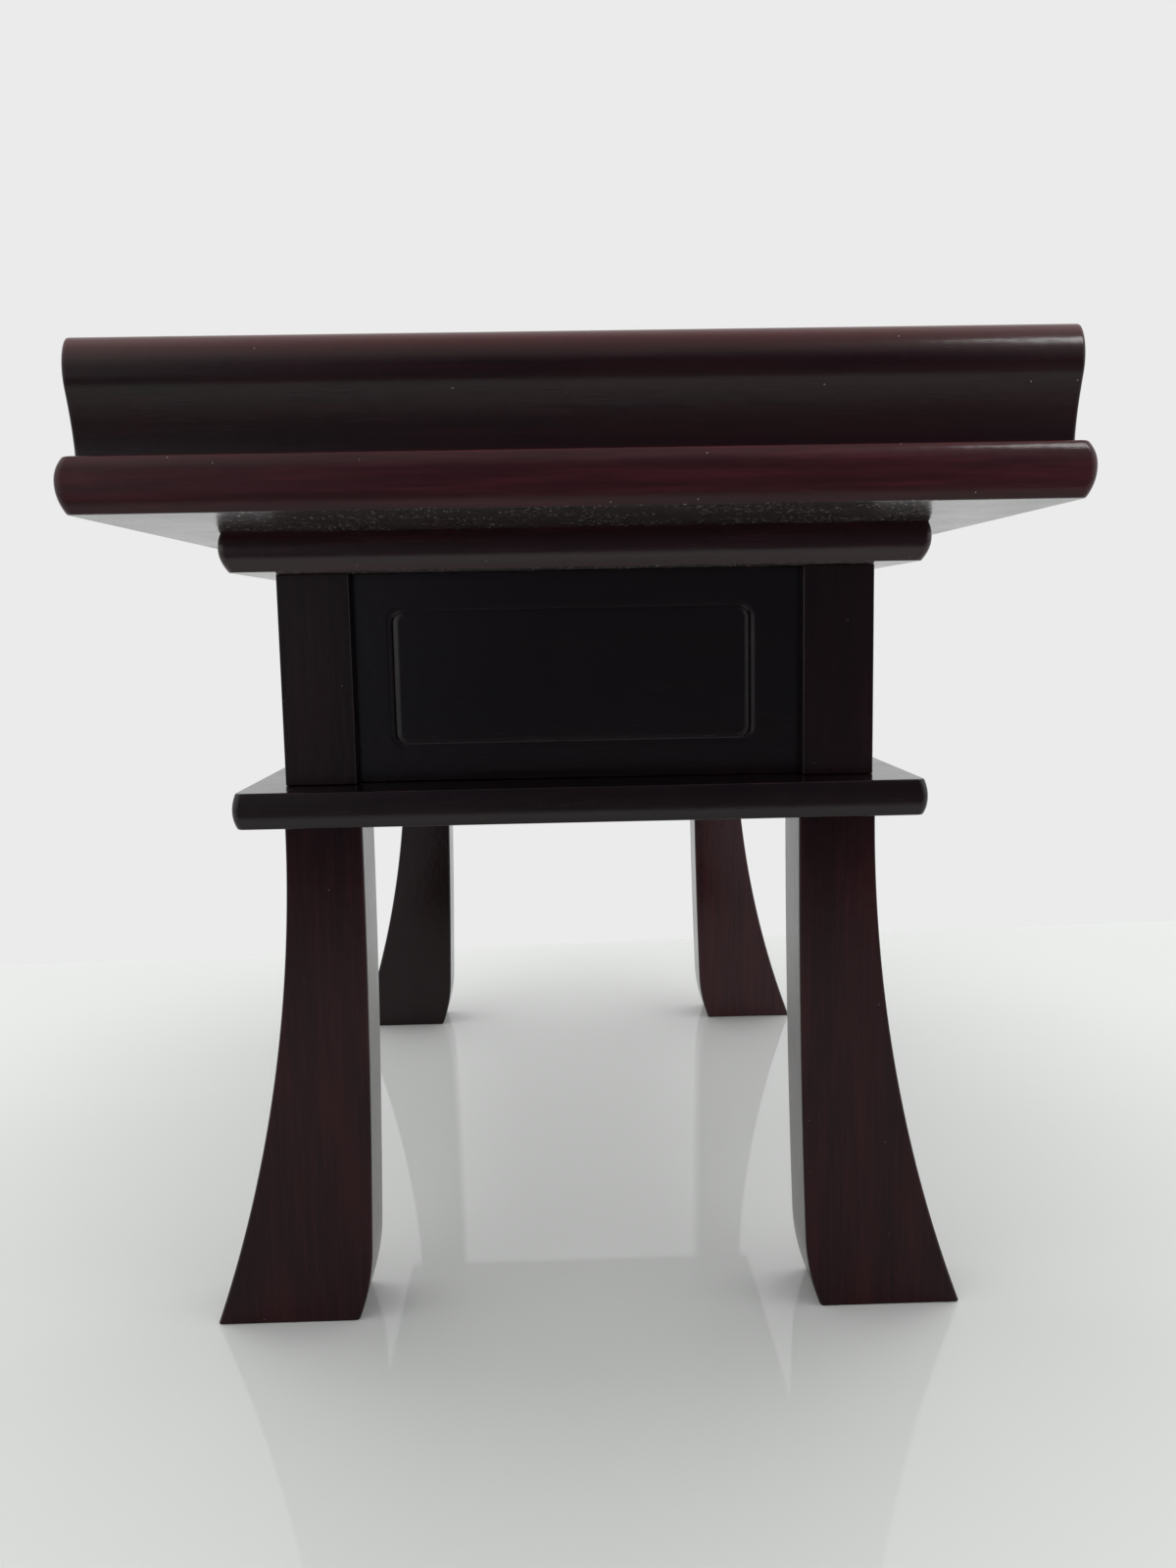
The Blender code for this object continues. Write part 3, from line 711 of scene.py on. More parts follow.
def raise_outline(name: str, sections: Sequence[Section], corner: float, corner_steps: int) -> Piece:
    """Draws a rounded outline on the first section and raises it through the others.

    Args:
        name: The piece's name.
        sections: Level sections from the lowest up.
        corner: Radius of the outline's corners.
        corner_steps: Facets round each corner.

    Returns:
        The new piece, closed.
    """
    first = sections[0]
    bpy.ops.mesh.primitive_plane_add(size=1.0, location=first.centre)
    bpy.ops.transform.resize(value=first.size, center_override=first.centre)
    piece = take_up(name)
    with editing(piece):
        bpy.ops.mesh.select_all(action="SELECT")
        bpy.ops.mesh.bevel(offset=corner, segments=corner_steps, affect="VERTICES")
        bpy.ops.mesh.select_all(action="SELECT")
        for below, above in zip(sections, sections[1:]):
            step = above.centre - below.centre
            bpy.ops.mesh.extrude_region_move(TRANSFORM_OT_translate={"value": step})
            growth = (above.size.x / below.size.x, above.size.y / below.size.y, 1.0)
            bpy.ops.transform.resize(value=growth, center_override=above.centre)
    point_outwards(piece)
    return piece


def raise_turning(name: str, centre: Vector, axis: Vector, profile: Sequence[Pair], sides: int) -> Piece:
    """Draws a disc and raises it along its axis through a turned profile.

    Args:
        name: The piece's name.
        centre: Where the axis starts.
        axis: The axis's direction, one of the frame's own axes.
        profile: Pairs of radius and distance along the axis.
        sides: Facets round the turning.

    Returns:
        The new piece, closed.
    """
    turn = UP.rotation_difference(axis).to_euler()
    radius, reach = profile[0]
    start = centre + axis * reach
    bpy.ops.mesh.primitive_circle_add(
        vertices=sides, radius=radius, fill_type="NGON", location=start, rotation=turn
    )
    piece = take_up(name)
    with editing(piece):
        bpy.ops.mesh.select_all(action="SELECT")
        for (before, low), (after, high) in zip(profile, profile[1:]):
            bpy.ops.mesh.extrude_region_move(TRANSFORM_OT_translate={"value": axis * (high - low)})
            growth = [1.0 if along else after / before for along in axis]
            bpy.ops.transform.resize(value=growth, center_override=centre + axis * high)
    point_outwards(piece)
    return piece


def house(piece: Piece, low: Vector, high: Vector) -> None:
    """Cuts a housing out of a piece.

    Args:
        piece: The piece.
        low: Lowest corner of the housing.
        high: Highest corner of the housing.
    """
    cutter = start_block(f"{piece.name}_cutter", low, high)
    apply_modifier(piece, "BOOLEAN", operation="DIFFERENCE", solver="EXACT", object=cutter)
    bpy.data.objects.remove(cutter, do_unlink=True)


def eased_copy(node: str, width: float) -> Piece:
    """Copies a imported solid, joins its triangles into faces and eases its edges.

    Args:
        node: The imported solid.
        width: How far the rounding reaches from an edge.

    Returns:
        The new piece.
    """
    piece = bpy.data.objects.new(f"{node}_eased", bpy.data.objects[node].data.copy())
    bpy.context.scene.collection.objects.link(piece)
    piece.data.materials.clear()
    with editing(piece):
        bpy.ops.mesh.select_all(action="SELECT")
        bpy.ops.mesh.remove_doubles(threshold=TOUCH)
        bpy.ops.mesh.dissolve_limited(angle_limit=FLAT_ANGLE)
    ease_edges(piece, width, steps=2)
    return piece


@dataclass(frozen=True)
class RoutedLine:
    """A shallow line cut round the field of a panel, with a fine notch along its bottom."""

    side_margin: float = 0.0130
    rail_margin: float = 0.0103
    corner: float = 0.0062
    corner_steps: int = 10
    width: float = 0.0043
    depth: float = 0.00043
    notch: float = 0.00037
    rail_share: float = 1.0
    steps: int = 16

    def cut(self, piece: Piece, outward: Vector, shown: Vector, shift: Vector = Vector()) -> None:
        """Cuts the line into the face that looks outwards.

        Args:
            piece: A block whose edges are already eased.
            outward: The face's normal, one of the frame's own axes.
            shown: Size of the part of the piece that shows.
            shift: How far the field lies from the middle of the face.
        """
        level = Vector((abs(outward.y), abs(outward.x), 0))
        margin = 2 * (self.side_margin * level + self.rail_margin * UP)
        field_size = (shown - margin) * (level + UP)
        reach = max(vert.co.dot(outward) for vert in piece.data.vertices)

        def on_face(face: bmesh.types.BMFace) -> bool:
            """Says whether a face lies in the outer plane."""
            flat = face.normal.dot(outward) > FACING
            return flat and abs(face.calc_center_median().dot(outward) - reach) < TOUCH

        with editing(piece):
            pick_faces(piece, on_face)
            bpy.ops.mesh.inset(thickness=self.rail_margin / 2)
            verts = [v for v in bmesh.from_edit_mesh(piece.data).verts if v.select]
            low = Vector(min(v.co[axis] for v in verts) for axis in range(3))
            high = Vector(max(v.co[axis] for v in verts) for axis in range(3))
            growth = [want / have if want else 1.0 for want, have in zip(field_size, high - low)]
            middle = (low + high) / 2
            bpy.ops.transform.resize(value=growth, center_override=middle)
            bpy.ops.transform.translate(value=shift)
            bpy.ops.mesh.bevel(offset=self.corner, segments=self.corner_steps, affect="VERTICES")
            pick_faces(piece, lambda face: on_face(face) and len(face.verts) > 4 * self.corner_steps)
            for step in range(self.steps):
                sink = self.sink(step + 1) - self.sink(step)
                bpy.ops.mesh.inset(thickness=self.width / self.steps, depth=-sink)
            self.fade_rails(piece, outward, reach, middle + shift, field_size)

    def fade_rails(
        self, piece: Piece, outward: Vector, reach: float, middle: Vector, field_size: Vector
    ) -> None:
        """Makes the line shallower along the rails, by degrees round the corners.

        Args:
            piece: The piece in edit mode, with the line cut to its full depth.
            outward: The normal of the face that holds the line.
            reach: How far out that face lies.
            middle: Middle of the field.
            field_size: Size of the field over the line's outer edge.
        """
        level = Vector((abs(outward.y), abs(outward.x), 0))
        side_end = field_size.z / 2 - self.corner
        rail_end = field_size.dot(level) / 2 - self.corner
        for vert in bmesh.from_edit_mesh(piece.data).verts:
            sunk = reach - vert.co.dot(outward)
            rise = abs(vert.co.z - middle.z) - side_end
            run = abs((vert.co - middle).dot(level)) - rail_end
            if max(rise, run) > self.corner or not 0.0 < sunk < 2 * (self.depth + self.notch):
                continue
            turn = math.atan2(max(0.0, rise), max(0.0, run)) / (math.pi / 2)
            vert.co += outward * sunk * (1 - self.rail_share) * turn * turn * (3 - 2 * turn)
        bmesh.update_edit_mesh(piece.data)

    def sink(self, step: int) -> float:
        """Depth of the line a number of steps across it."""
        notch = self.notch if 2 * step == self.steps else 0.0
        return self.depth * math.sin(math.pi * step / self.steps) ** 2 + notch


@dataclass(frozen=True)
class Look:
    """The finish of a piece: its grain, its slot and, under lacquer, its tone and its underside."""

    grain: Grain = Grain.ALONG_Z
    slot: Slot = Slot.LACQUER
    tone: Tone = Tone.PLAIN
    underside: Underside = Underside.CLEAN


@dataclass
class SubAssembly:
    """Pieces of the desk that are made together and ride on one body."""

    body: str
    made: list[tuple[Piece, Look]] = field(default_factory=list)

    def settle(self, piece: Piece, node: str, look: Look) -> None:
        """Puts a finished piece on its body, in place of the solid that it stands for.

        Args:
            piece: The finished piece.
            node: The solid that it stands for.
            look: Its finish.
        """
        smooth(piece)
        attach(piece, self.body)
        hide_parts(node)
        self.made.append((piece, look))
        LOG.info("%s: %d faces on %s", piece.name, len(piece.data.polygons), self.body)

    def build(self) -> None:
        """Models the pieces."""
        raise NotImplementedError

    def dress(self, finishes: FinishSet) -> None:
        """Gives each piece its material.

        Args:
            finishes: The desk's materials.
        """
        for piece, look in self.made:
            piece.data.materials.clear()
            piece.data.materials.append(finishes.find(look))


@dataclass
class FinishSet:
    """The desk's materials, each made once when it is first asked for."""

    lacquer: Lacquer = Lacquer()
    drawer_wood: BareWood = BareWood(
        "drawer_wood", pale=(0.60, 0.43, 0.25), dark=(0.42, 0.27, 0.14), ring=0.0065, roughness=0.56
    )
    case_wood: BareWood = BareWood(
        "case_wood", pale=(0.38, 0.24, 0.13), dark=(0.25, 0.145, 0.075), ring=0.0050, roughness=0.62
    )
    dowel_wood: BareWood = BareWood(
        "dowel_wood", pale=(0.66, 0.48, 0.30), dark=(0.50, 0.34, 0.20), ring=0.0022, roughness=0.60
    )
    steel: ZincSteel = ZincSteel()
    ready: dict[Look, bpy.types.Material] = field(default_factory=dict)

    def find(self, look: Look) -> bpy.types.Material:
        """Gives the material of a look.

        Args:
            look: The finish of a piece.

        Returns:
            The material.
        """
        if look not in self.ready:
            self.ready[look] = self.make(look)
        return self.ready[look]

    def make(self, look: Look) -> bpy.types.Material:
        """Makes the material of a look.

        Args:
            look: The finish of a piece.

        Returns:
            The material.
        """
        if look.slot is Slot.LACQUER:
            return self.lacquer.material(look.grain, look.tone, look.underside)
        if look.slot is Slot.SCREW_STEEL:
            return self.steel.material()
        woods = {
            Slot.DRAWER_WOOD: self.drawer_wood,
            Slot.CASE_WOOD: self.case_wood,
            Slot.DOWEL_WOOD: self.dowel_wood,
        }
        return woods[look.slot].material(look.grain)


@dataclass(frozen=True)
class Nose:
    """The shallow rounding of one edge: how far it stands back below and above its widest line."""

    under: float
    over: float
    rise: float
    power: float = 2.0

    def inset(self, height: float, thickness: float) -> float:
        """How far the edge stands back at a height over the board's underside."""
        widest = thickness / 2 + self.rise
        if height < widest:
            return self.under * (1 - height / widest) ** self.power
        return self.over * ((height - widest) / (thickness - widest)) ** self.power


@dataclass(frozen=True)
class NosedBoard:
    """A board with one nose along its sides and another along its ends."""

    side: Nose
    end: Nose
    raised: float = 0.0
    corner: float = 0.0025
    corner_steps: int = 5
    rounding: float = 0.0005
    steps: int = 24

    def model(self, name: str, node: str) -> Piece:
        """Models the board.

        Args:
            name: The piece's name.
            node: The solid that the board stands for.

        Returns:
            The board.
        """
        low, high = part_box(node)
        thickness = high.z - low.z + self.raised
        sections = []
        for step in range(self.steps + 1):
            rise = thickness * step / self.steps
            end_back = self.end.inset(rise, thickness)
            side_back = self.side.inset(rise, thickness)
            near = (low.x + end_back, low.y + side_back)
            far = (high.x - end_back, high.y - side_back)
            sections.append(Section(near, far, low.z + rise))
        piece = raise_outline(name, sections, self.corner, self.corner_steps)
        ease_edges(piece, self.rounding)
        return piece


@dataclass
class DeskTop(SubAssembly):
    """The top board and the curled lip along each of its short ends."""

    board: NosedBoard = NosedBoard(
        side=Nose(under=0.0024, over=0.0021, rise=0.0008), end=Nose(0.0016, 0.0016, 0.0008, power=3.0)
    )
    base_width: float = 0.026
    crown_width: float = 0.015
    roll_height: float = 0.0145
    roll_reach: float = 0.0051
    belly_rise: float = 0.0050
    crown_round: float = 0.0073
    inner_round: float = 0.0040
    sweep_power: float = 2.2
    cove_power: float = 1.67
    lip_corner: float = 0.0010
    lip_corner_steps: int = 4
    lip_rounding: float = 0.0004
    cove_steps: int = 14
    roll_steps: int = 30

    def build(self) -> None:
        """Models the top board and both lips."""
        board = self.board.model("top_board_nosed", "top_board")
        self.settle(board, "top_board", Look(Grain.BANDED, tone=Tone.CRIMSON, underside=Underside.DUSTY_AND_LIT))
        for end in End:
            node = f"end_lip_{end.word}"
            sections = self.sections(node, end)
            lip = raise_outline(f"{node}_curled", sections, self.lip_corner, self.lip_corner_steps)
            ease_edges(lip, self.lip_rounding, steps=2)
            self.settle(lip, node, Look(Grain.ALONG_Y, tone=Tone.CURL))

    def levels(self, height: float) -> list[float]:
        """Heights up a lip: even steps up its cove, then finer ones round its roll to the crown."""
        crease = height - self.roll_height
        levels = [crease * step / self.cove_steps for step in range(self.cove_steps)]
        for step in range(self.roll_steps + 1):
            levels.append(crease + self.roll_height * math.sin(math.pi / 2 * step / self.roll_steps))
        return levels

    def swell(self, level: float, height: float) -> float:
        """How far a lip's outer face stands out past its base: a cove, then an elliptic roll."""
        crease = height - self.roll_height
        belly = crease + self.belly_rise
        span = height - belly
        shoulder = 1 - math.sqrt(1 - ((crease - belly) / span) ** 2)
        crease_reach = self.roll_reach - self.crown_round * shoulder
        if level < crease:
            return crease_reach * (level / crease) ** self.cove_power
        share = min(1.0, abs(level - belly) / span)
        return self.roll_reach - self.crown_round * (1 - math.sqrt(1 - share * share))

    def width(self, level: float, height: float) -> float:
        """A lip's width from the plane of its base to its inner face, which sweeps in to the crown."""
        sweep_top = height - self.inner_round
        crown = self.crown_width - self.roll_reach
        if level < sweep_top:
            return crown + (self.base_width - crown) * (1 - level / sweep_top) ** self.sweep_power
        share = (level - sweep_top) / self.inner_round
        return crown - self.inner_round * (1 - math.sqrt(max(0.0, 1 - share * share)))

    def sections(self, node: str, end: End) -> list[Section]:
        """Gives a lip's level sections.

        Args:
            node: The solid that the lip stands for.
            end: The end of the desk where it lies.

        Returns:
            The sections from its base up.
        """
        low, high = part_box(node)
        height = high.z - low.z
        base_x = (high.x if end is End.RIGHT else -low.x) - self.roll_reach
        sections = []
        for level in self.levels(height):
            outer = base_x + self.swell(level, height)
            xs = sorted((end.value * outer, end.value * (base_x - self.width(level, height))))
            sections.append(Section((xs[0], low.y), (xs[1], high.y), low.z + level))
        return sections


@dataclass
class DrawerCase(SubAssembly):
    """The case: two nosed boards, corner posts, panels, and the divider, guides and stops inside."""

    upper_board: NosedBoard = NosedBoard(
        side=Nose(under=0.0026, over=0.0010, rise=0.0014),
        end=Nose(0.0026, 0.0004, 0.0014, power=2.6),
        raised=SEAT,
        rounding=0.00012,
    )
    lower_board: NosedBoard = NosedBoard(
        side=Nose(under=0.0013, over=0.0013, rise=0.0),
        end=Nose(0.0012, 0.0004, 0.0, power=3.0),
        rounding=0.0003,
    )
    post_rounding: float = 0.0004
    panel_rounding: float = 0.0004
    panel_tongue: float = 0.004
    end_line: RoutedLine = RoutedLine(rail_share=0.20)
    back_line: RoutedLine = RoutedLine()
    line_shift: Mapping[str, Vector] = field(
        default_factory=lambda: {"end_panel_right": Vector((0, -0.0020, -0.0001))}
    )

    def build(self) -> None:
        """Models the case."""
        upper_look = Look(Grain.BANDED, tone=Tone.RUSSET, underside=Underside.PALE)
        boards = {
            "upper_case_board": (self.upper_board, upper_look),
            "lower_case_board": (self.lower_board, Look(Grain.BANDED, tone=Tone.BLACK)),
        }
        for node, (board, look) in boards.items():
            self.settle(board.model(f"{node}_nosed", node), node, look)
        self.build_posts()
        self.build_panels()
        nodes = {"drawer_divider": Look(Grain.ALONG_Y)}
        for end in End:
            nodes[f"drawer_guide_{end.word}"] = Look(Grain.ALONG_Y, Slot.CASE_WOOD)
            nodes[f"drawer_stop_{end.word}"] = Look(Grain.ALONG_X, Slot.CASE_WOOD)
        for node, look in nodes.items():
            self.settle(eased_copy(node, self.panel_rounding), node, look)

    def build_posts(self) -> None:
        """Models the corner posts with the grooves that hold the panels."""
        for side, end in CORNERS:
            node = f"corner_post_{side.word}_{end.word}"
            low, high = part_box(node)
            post = start_block(f"{node}_eased", low - CLOSE_FIT, high + CLOSE_FIT)
            ease_edges(post, self.post_rounding, steps=4)
            self.groove(post, f"end_panel_{end.word}")
            if side is Side.BACK:
                self.groove(post, "back_panel")
            self.settle(post, node, Look(Grain.ALONG_Z, tone=Tone.DARK))

    def groove(self, post: Piece, panel: str) -> None:
        """Cuts the groove for a panel's tongue over the whole height of a post.

        Args:
            post: The post.
            panel: The panel's solid.
        """
        low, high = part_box(panel)
        margin = Vector((SEAT, SEAT, OVERCUT))
        house(post, low - margin, high + margin)

    def build_panels(self) -> None:
        """Models the end panels and the back panel."""
        for end in End:
            node = f"end_panel_{end.word}"
            panel = self.panel(node, Vector((end.value, 0, 0)), self.end_line)
            self.settle(panel, node, Look(Grain.ALONG_Y, tone=Tone.BLACK))
        panel = self.panel("back_panel", -FRONTWARDS, self.back_line)
        self.settle(panel, "back_panel", Look(Grain.ALONG_X, tone=Tone.BLACK))

    def panel(self, node: str, outward: Vector, line: RoutedLine) -> Piece:
        """Models a panel with its routed line.

        Args:
            node: The solid that the panel stands for.
            outward: The direction that its face looks in.
            line: Its line.

        Returns:
            The panel.
        """
        low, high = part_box(node)
        piece = start_block(f"{node}_routed", low - CLOSE_FIT, high + CLOSE_FIT)
        ease_edges(piece, self.panel_rounding, steps=2)
        level = Vector((abs(outward.y), abs(outward.x), 0))
        shown = (high - low) - 2 * (self.panel_tongue - SEAT) * level
        line.cut(piece, outward, shown, self.line_shift.get(node, Vector()))
        return piece


@dataclass
class LegSet(SubAssembly):
    """Four legs: an arc outside, a slower arc inside and a cut-back toe."""

    depth: float = 0.0262
    splay: float = 0.0321
    inner_splay: float = 0.0036
    toe_height: float = 0.026
    toe_cut: float = 0.0045
    rounding: float = 0.0014
    corner_steps: int = 4
    foot_rounding: float = 0.0010
    toe_steps: int = 10
    shank_steps: int = 44
    # Painted light and shade: two legs take a darker or a redder tone than the others.
    tones: Mapping[str, Tone] = field(
        default_factory=lambda: {"leg_front_left": Tone.DARK, "leg_back_left": Tone.RUSSET}
    )

    def build(self) -> None:
        """Models the legs."""
        for side, end in CORNERS:
            node = f"leg_{side.word}_{end.word}"
            sections = self.sections(node, side)
            leg = raise_outline(f"{node}_splayed", sections, self.rounding, self.corner_steps)
            ease_edges(leg, self.foot_rounding)
            self.settle(leg, node, Look(Grain.ALONG_Z, tone=self.tones.get(node, Tone.PLAIN)))

    @staticmethod
    def drop(sag: float, run: float, distance: float) -> float:
        """How far an arc has left its tangent, if it leaves by sag over the whole run."""
        radius = (run * run + sag * sag) / (2 * sag)
        return radius - math.sqrt(radius * radius - distance * distance)

    def sections(self, node: str, side: Side) -> list[Section]:
        """Gives a leg's level sections.

        Args:
            node: The solid that the leg stands for.
            side: The side of the desk where it stands.

        Returns:
            The sections from the floor up.
        """
        low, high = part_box(node)
        height = high.z
        post_low, post_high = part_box(node.replace("leg", "corner_post"))
        centre_y = abs(post_low.y + post_high.y) / 2
        outer_y = centre_y + self.depth / 2
        inner_y = centre_y - self.depth / 2
        levels = [self.toe_height * step / self.toe_steps for step in range(self.toe_steps)]
        shank = height - self.toe_height
        for step in range(self.shank_steps + 1):
            levels.append(self.toe_height + shank * step / self.shank_steps)
        sections = []
        for z in levels:
            toe = self.toe_cut * max(0.0, 1 - z / self.toe_height) ** 2
            outer = outer_y + self.drop(self.splay, height, height - z)
            inner = inner_y + toe + self.drop(self.inner_splay, height, height - z)
            ys = sorted((side.value * outer, side.value * inner))
            sections.append(Section((low.x, ys[0]), (high.x, ys[1]), z))
        return sections


@dataclass
class Drawer(SubAssembly):
    """One drawer: a routed front with a turned knob, two sides, a back and a bottom."""

    end: End = End.RIGHT
    front_rounding: float = 0.0005
    board_rounding: float = 0.0005
    tongue_thickness: float = 0.004
    knob_radius: float = 0.0085
    foot_radius: float = 0.0060
    foot_height: float = 0.0015
    neck_radius: float = 0.0045
    neck_height: float = 0.006
    knob_steps: int = 22
    knob_sides: int = 48
    line: RoutedLine = RoutedLine()

    def build(self) -> None:
        """Models the drawer."""
        self.build_front()
        self.build_knob()
        word = self.end.word
        boards = [(f"drawer_side_{word}_{side.word}", Grain.ALONG_Y) for side in End]
        boards += [(f"drawer_back_{word}", Grain.ALONG_X), (f"drawer_bottom_{word}", Grain.ALONG_X)]
        for node, grain in boards:
            self.settle(eased_copy(node, self.board_rounding), node, Look(grain, Slot.DRAWER_WOOD))

    def build_front(self) -> None:
        """Models the front, routed like the panels and housed for the sides and the bottom."""
        node = f"drawer_front_{self.end.word}"
        low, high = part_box(node)
        front = start_block(f"{node}_routed", low, high)
        ease_edges(front, self.front_rounding)
        self.line.cut(front, FRONTWARDS, high - low)
        margin = Vector((SEAT, SEAT, SEAT))
        for side in End:
            tongue_low, tongue_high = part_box(f"drawer_side_{self.end.word}_{side.word}")
            if side is End.RIGHT:
                tongue_high.x = tongue_low.x + self.tongue_thickness
            else:
                tongue_low.x = tongue_high.x - self.tongue_thickness
            tongue_low.z = low.z - OVERCUT
            house(front, tongue_low - margin, tongue_high + margin)
        bottom_low, bottom_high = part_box(f"drawer_bottom_{self.end.word}")
        house(front, bottom_low - margin, bottom_high + margin)
        self.settle(front, node, Look(Grain.ALONG_X))

    def build_knob(self) -> None:
        """Models the knob: a foot, a waisted neck and a domed head."""
        node = f"drawer_knob_{self.end.word}"
        low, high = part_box(node)
        centre = Vector(((low.x + high.x) / 2, high.y, (low.z + high.z) / 2))
        profile = self.knob_profile(high.y - low.y)
        knob = raise_turning(f"{node}_turned", centre, FRONTWARDS, profile, self.knob_sides)
        self.settle(knob, node, Look(Grain.ALONG_Y))

    def knob_profile(self, reach: float) -> list[Pair]:
        """Gives the knob's outline.

        Args:
            reach: How far the knob stands out.

        Returns:
            Pairs of radius and distance from the front.
        """
        waist = self.foot_height + self.foot_radius - self.neck_radius
        profile = [(self.foot_radius, 0.0), (self.foot_radius, self.foot_height)]
        profile.append((self.neck_radius, waist))
        start = -math.acos(self.neck_radius / self.knob_radius)
        half_head = (reach - self.neck_height) / (1 - math.sin(start))
        for step in range(self.knob_steps):
            angle = start + (math.pi / 2 - start) * step / self.knob_steps
            rise = reach - half_head * (1 - math.sin(angle))
            profile.append((self.knob_radius * math.cos(angle), rise))
        return profile


@dataclass
class Joinery:
    """Dowels and screws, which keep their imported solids."""

    nodes: Mapping[str, Piece]

    def dress(self, finishes: FinishSet) -> None:
        """Gives each dowel and screw its material.

        Args:
            finishes: The desk's materials.
        """
        for name, node in sorted(self.nodes.items()):
            if "dowel" in name:
                material = finishes.find(Look(slot=Slot.DOWEL_WOOD))
            elif "screw" in name:
                material = finishes.find(Look(slot=Slot.SCREW_STEEL))
            else:
                continue
            for slot in node.material_slots:
                slot.material = material
            LOG.info("%s: packed solid dressed in %s", name, material.name)


@dataclass(frozen=True)
class Softbox:
    """A large soft lamp, which the gloss may or may not mirror."""

    name: str
    place: Triple
    aim: Triple
    width: float
    height: float
    power: float
    spread: float
    mirrored: bool

    def build(self, unlit: Piece | None = None) -> None:
        """Adds the lamp.

        Args:
            unlit: An object that the lamp neither lights nor shows its mirror image on.
        """
        data = bpy.data.lights.new(self.name, "AREA")
        data.shape = "RECTANGLE"
        data.size = self.width
        data.size_y = self.height
        data.energy = self.power
        data.spread = self.spread
        lamp = bpy.data.objects.new(self.name, data)
        lamp.visible_glossy = self.mirrored
        bpy.context.scene.collection.objects.link(lamp)
        lamp.location = self.place
        lamp.rotation_mode = "QUATERNION"
        lamp.rotation_quaternion = (Vector(self.aim) - Vector(self.place)).to_track_quat("-Z", "Y")
        if unlit is not None:
            listed = bpy.data.collections.new(f"{self.name}_unlit")
            listed.objects.link(unlit)
            listed.collection_objects[0].light_linking.link_state = "EXCLUDE"
            lamp.light_linking.receiver_collection = listed


@dataclass(frozen=True)
class Viewpoint:
    """The camera: near the right-hand end, a little above the lower board, tilted down."""

    place: Triple = (0.6092, -0.0073, 0.2446)
    yaw: float = 0.0228
    pitch: float = 0.1254
    roll: float = -0.019
    focal_pixels: float = 1294.0
    image_height: float = 1600.0
    sensor_height: float = 36.0
    nearest: float = 0.01
    farthest: float = 50.0

    def build(self) -> None:
        """Adds the camera and makes it the scene's own."""
        data = bpy.data.cameras.new("viewpoint")
        data.sensor_fit = "VERTICAL"
        data.sensor_height = self.sensor_height
        data.lens = self.sensor_height * self.focal_pixels / self.image_height
        data.clip_start = self.nearest
        data.clip_end = self.farthest
        camera = bpy.data.objects.new("viewpoint", data)
        bpy.context.scene.collection.objects.link(camera)
        level = Vector((-math.cos(self.yaw), math.sin(self.yaw), 0))
        across = Vector((math.sin(self.yaw), math.cos(self.yaw), 0))
        ahead = level * math.cos(self.pitch) - UP * math.sin(self.pitch)
        up = level * math.sin(self.pitch) + UP * math.cos(self.pitch)
        right = across * math.cos(self.roll) + up * math.sin(self.roll)
        top = up * math.cos(self.roll) - across * math.sin(self.roll)
        turn = Matrix((right, top, -ahead)).transposed()
        camera.matrix_world = Matrix.Translation(self.place) @ turn.to_4x4()
        bpy.context.scene.camera = camera


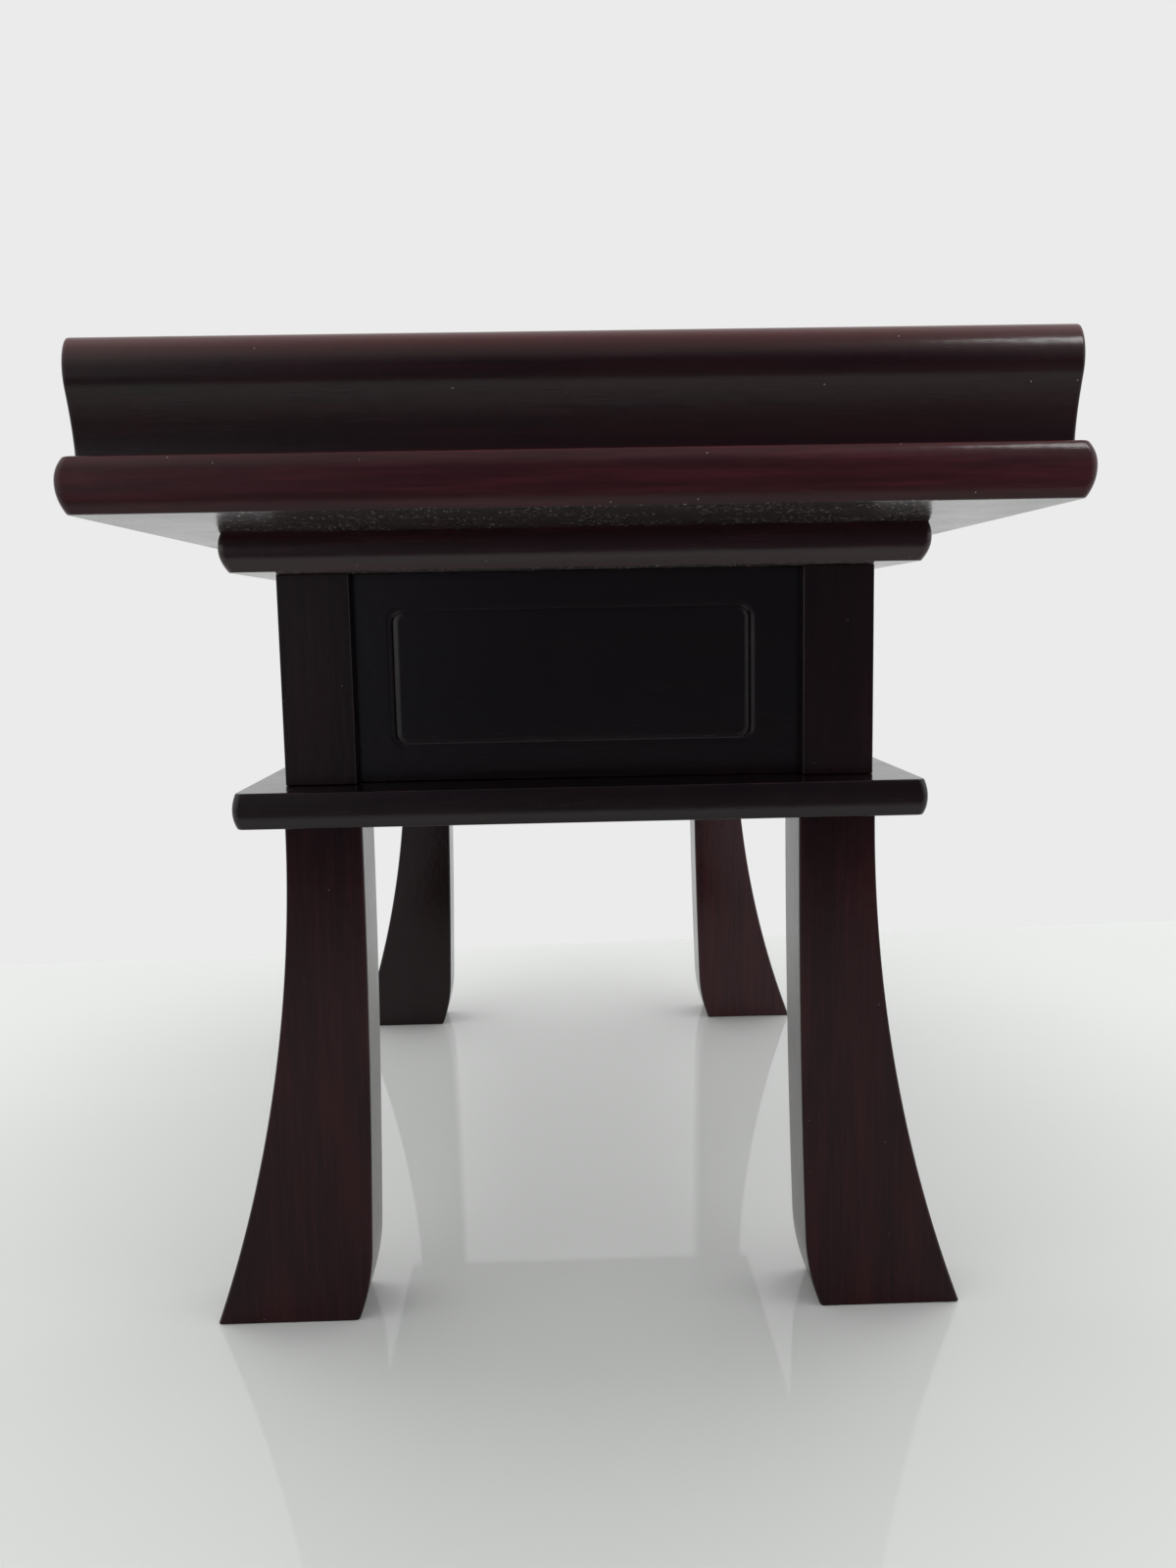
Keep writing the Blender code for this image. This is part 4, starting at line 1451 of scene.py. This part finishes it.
@dataclass
class Studio:
    """A glossy pale floor, a white wall behind it, soft light from above and behind, and the camera."""

    floor_size: float = 9.0
    floor_pale: Colour = (0.62, 0.633, 0.62)
    floor_grey: Colour = (0.60, 0.613, 0.60)
    cloud_scale: float = 2.2
    cloud_range: Pair = (0.35, 0.65)
    floor_roughness: float = 0.03
    floor_sheen: float = 0.34
    white: float = 0.83
    wall_left: Pair = (-0.325, -0.412)
    wall_right: Pair = (-0.3735, 0.470)
    wall_reach: float = 4.0
    wall_height: float = 3.0
    front_edge: Pair = (0.62, 1.06)
    front_dark: Colour = (0.15, 0.15, 0.16)
    dim_tint: Colour = (0.86, 0.92, 1.12)
    bright_tint: Colour = (1.0, 1.0, 1.0)
    untinted: float = 0.7
    ambient: float = 0.15
    overhead: float = 0.50
    overhead_range: Pair = (0.22, 0.72)
    behind: float = 1.50
    behind_range: Pair = (0.0, -0.8)
    beside: float = 1.05
    beside_range: Pair = (0.15, 0.90)
    beside_turn: float = 0.15
    window: float = 0.40
    window_side: Pair = (0.20, 0.45)
    window_rise: Pair = (0.0, 0.3)
    brightest: float = 1.6
    viewpoint: Viewpoint = Viewpoint()
    overhead_lamp: Softbox = Softbox(
        name="overhead_softbox",
        place=(-0.15, 0.0, 1.70),
        aim=(-0.15, 0.0, 0.0),
        width=1.4,
        height=1.6,
        power=8.0,
        spread=math.pi,
        mirrored=False,
    )
    front_lamp: Softbox = Softbox(
        name="front_right_softbox",
        place=(1.00, 0.76, 1.30),
        aim=(0.27, 0.12, 0.31),
        width=0.40,
        height=0.38,
        power=0.65,
        spread=math.pi / 3,
        mirrored=True,
    )

    def build(self) -> None:
        """Sets up the stage, the light and the camera."""
        floor = self.build_floor()
        self.build_wall()
        self.build_world()
        self.overhead_lamp.build()
        self.front_lamp.build(unlit=floor)
        self.viewpoint.build()
        bpy.context.scene.view_settings.view_transform = "Standard"

    def build_floor(self) -> Piece:
        """Lays the floor and gives it back."""
        bpy.ops.mesh.primitive_plane_add(size=self.floor_size, location=(0, 0, 0))
        floor = bpy.context.object
        floor.name = "stage_floor"
        material, graph = new_material("pale_floor")
        cloud = graph.ramp(graph.cloud(self.cloud_scale), self.cloud_range)
        pale = graph.tint(cloud, self.floor_pale, self.floor_grey)
        # Painted shade: beyond the front edge the floor is dark for every ray but the camera's, standing
        # in for the dark room in front in reflections and bounce light.
        ahead = graph.add("ShaderNodeSeparateXYZ", {0: graph.place([1.0] * 3)}).outputs["X"]
        unseen = graph.math("SUBTRACT", 1.0, graph.add("ShaderNodeLightPath").outputs["Is Camera Ray"])
        shade = graph.math("MULTIPLY", graph.ramp(ahead, self.front_edge), unseen)
        pale = graph.tint(shade, pale, self.front_dark)
        inputs = {"Base Color": pale, "Roughness": self.floor_roughness}
        inputs |= {"Specular IOR Level": self.floor_sheen}
        graph.surface(graph.add("ShaderNodeBsdfPrincipled", inputs))
        floor.data.materials.append(material)
        return floor

    def build_wall(self) -> None:
        """Stands the wall behind the desk, which shows from the desk's side only and throws no shade."""
        left, right = Vector(self.wall_left), Vector(self.wall_right)
        run = (right - left).normalized()
        middle = (left + right) / 2
        bpy.ops.mesh.primitive_plane_add(size=1.0, location=(middle.x, middle.y, self.wall_height / 2))
        wall = bpy.context.object
        wall.name = "stage_wall"
        basis = Matrix(((run.x, 0, run.y), (run.y, 0, -run.x), (0, 1, 0)))
        scale = Matrix.Diagonal((2 * self.wall_reach, self.wall_height, 1.0))
        wall.data.transform((basis @ scale).to_4x4())
        material, graph = new_material("white_wall")
        glow = graph.add("ShaderNodeEmission", {"Strength": self.white})
        clear = graph.add("ShaderNodeBsdfTransparent")
        behind = graph.add("ShaderNodeNewGeometry").outputs["Backfacing"]
        mix = graph.add("ShaderNodeMixShader", {0: behind, 1: glow.outputs[0], 2: clear.outputs[0]})
        graph.surface(mix)
        wall.data.materials.append(material)
        wall.visible_diffuse = False
        wall.visible_shadow = False

    def build_world(self) -> None:
        """Sets a dome, bright above and behind, dim in front and plain white to the camera."""
        world = bpy.data.worlds.new("soft_dome")
        world.use_nodes = True
        graph = ShaderGraph(world.node_tree)
        way = graph.add("ShaderNodeTexCoord").outputs["Generated"]
        parts = graph.add("ShaderNodeSeparateXYZ", {0: way}).outputs
        sideways = graph.math("ABSOLUTE", graph.math("SUBTRACT", parts["Y"], self.beside_turn))
        window_rise = graph.ramp(parts["Z"], self.window_rise)
        window = graph.math("MULTIPLY", graph.ramp(parts["Y"], self.window_side), window_rise)
        light = graph.total(
            (graph.ramp(parts["Z"], self.overhead_range), self.overhead),
            (graph.ramp(parts["X"], self.behind_range), self.behind),
            (graph.ramp(sideways, self.beside_range), self.beside),
            (window, self.window),
        )
        light = graph.math("MINIMUM", graph.math("ADD", light, self.ambient), self.brightest)
        seen = graph.add("ShaderNodeLightPath").outputs["Is Camera Ray"]
        strength = graph.add("ShaderNodeMix", {"Factor": seen, "A": light, "B": self.white}).outputs[0]
        brightness = graph.ramp(strength, (self.ambient, self.untinted))
        colour = graph.tint(brightness, self.dim_tint, self.bright_tint)
        dome = graph.add("ShaderNodeBackground", {"Color": colour, "Strength": strength})
        graph.surface(dome, "ShaderNodeOutputWorld")
        bpy.context.scene.world = world


def main() -> None:
    """Builds and dresses the desk, then the stage round it."""
    logging.basicConfig(level=logging.INFO, format="%(name)s: %(message)s")
    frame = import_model()
    finishes = FinishSet()
    assemblies = [LegSet("desk"), DrawerCase("desk"), DeskTop("desk")]
    assemblies += [Drawer(f"drawer_{end.word}", end=end) for end in End]
    for assembly in assemblies:
        assembly.build()
        assembly.dress(finishes)
    Joinery(frame["nodes"]).dress(finishes)
    Studio().build()


if __name__ == "__main__":
    main()
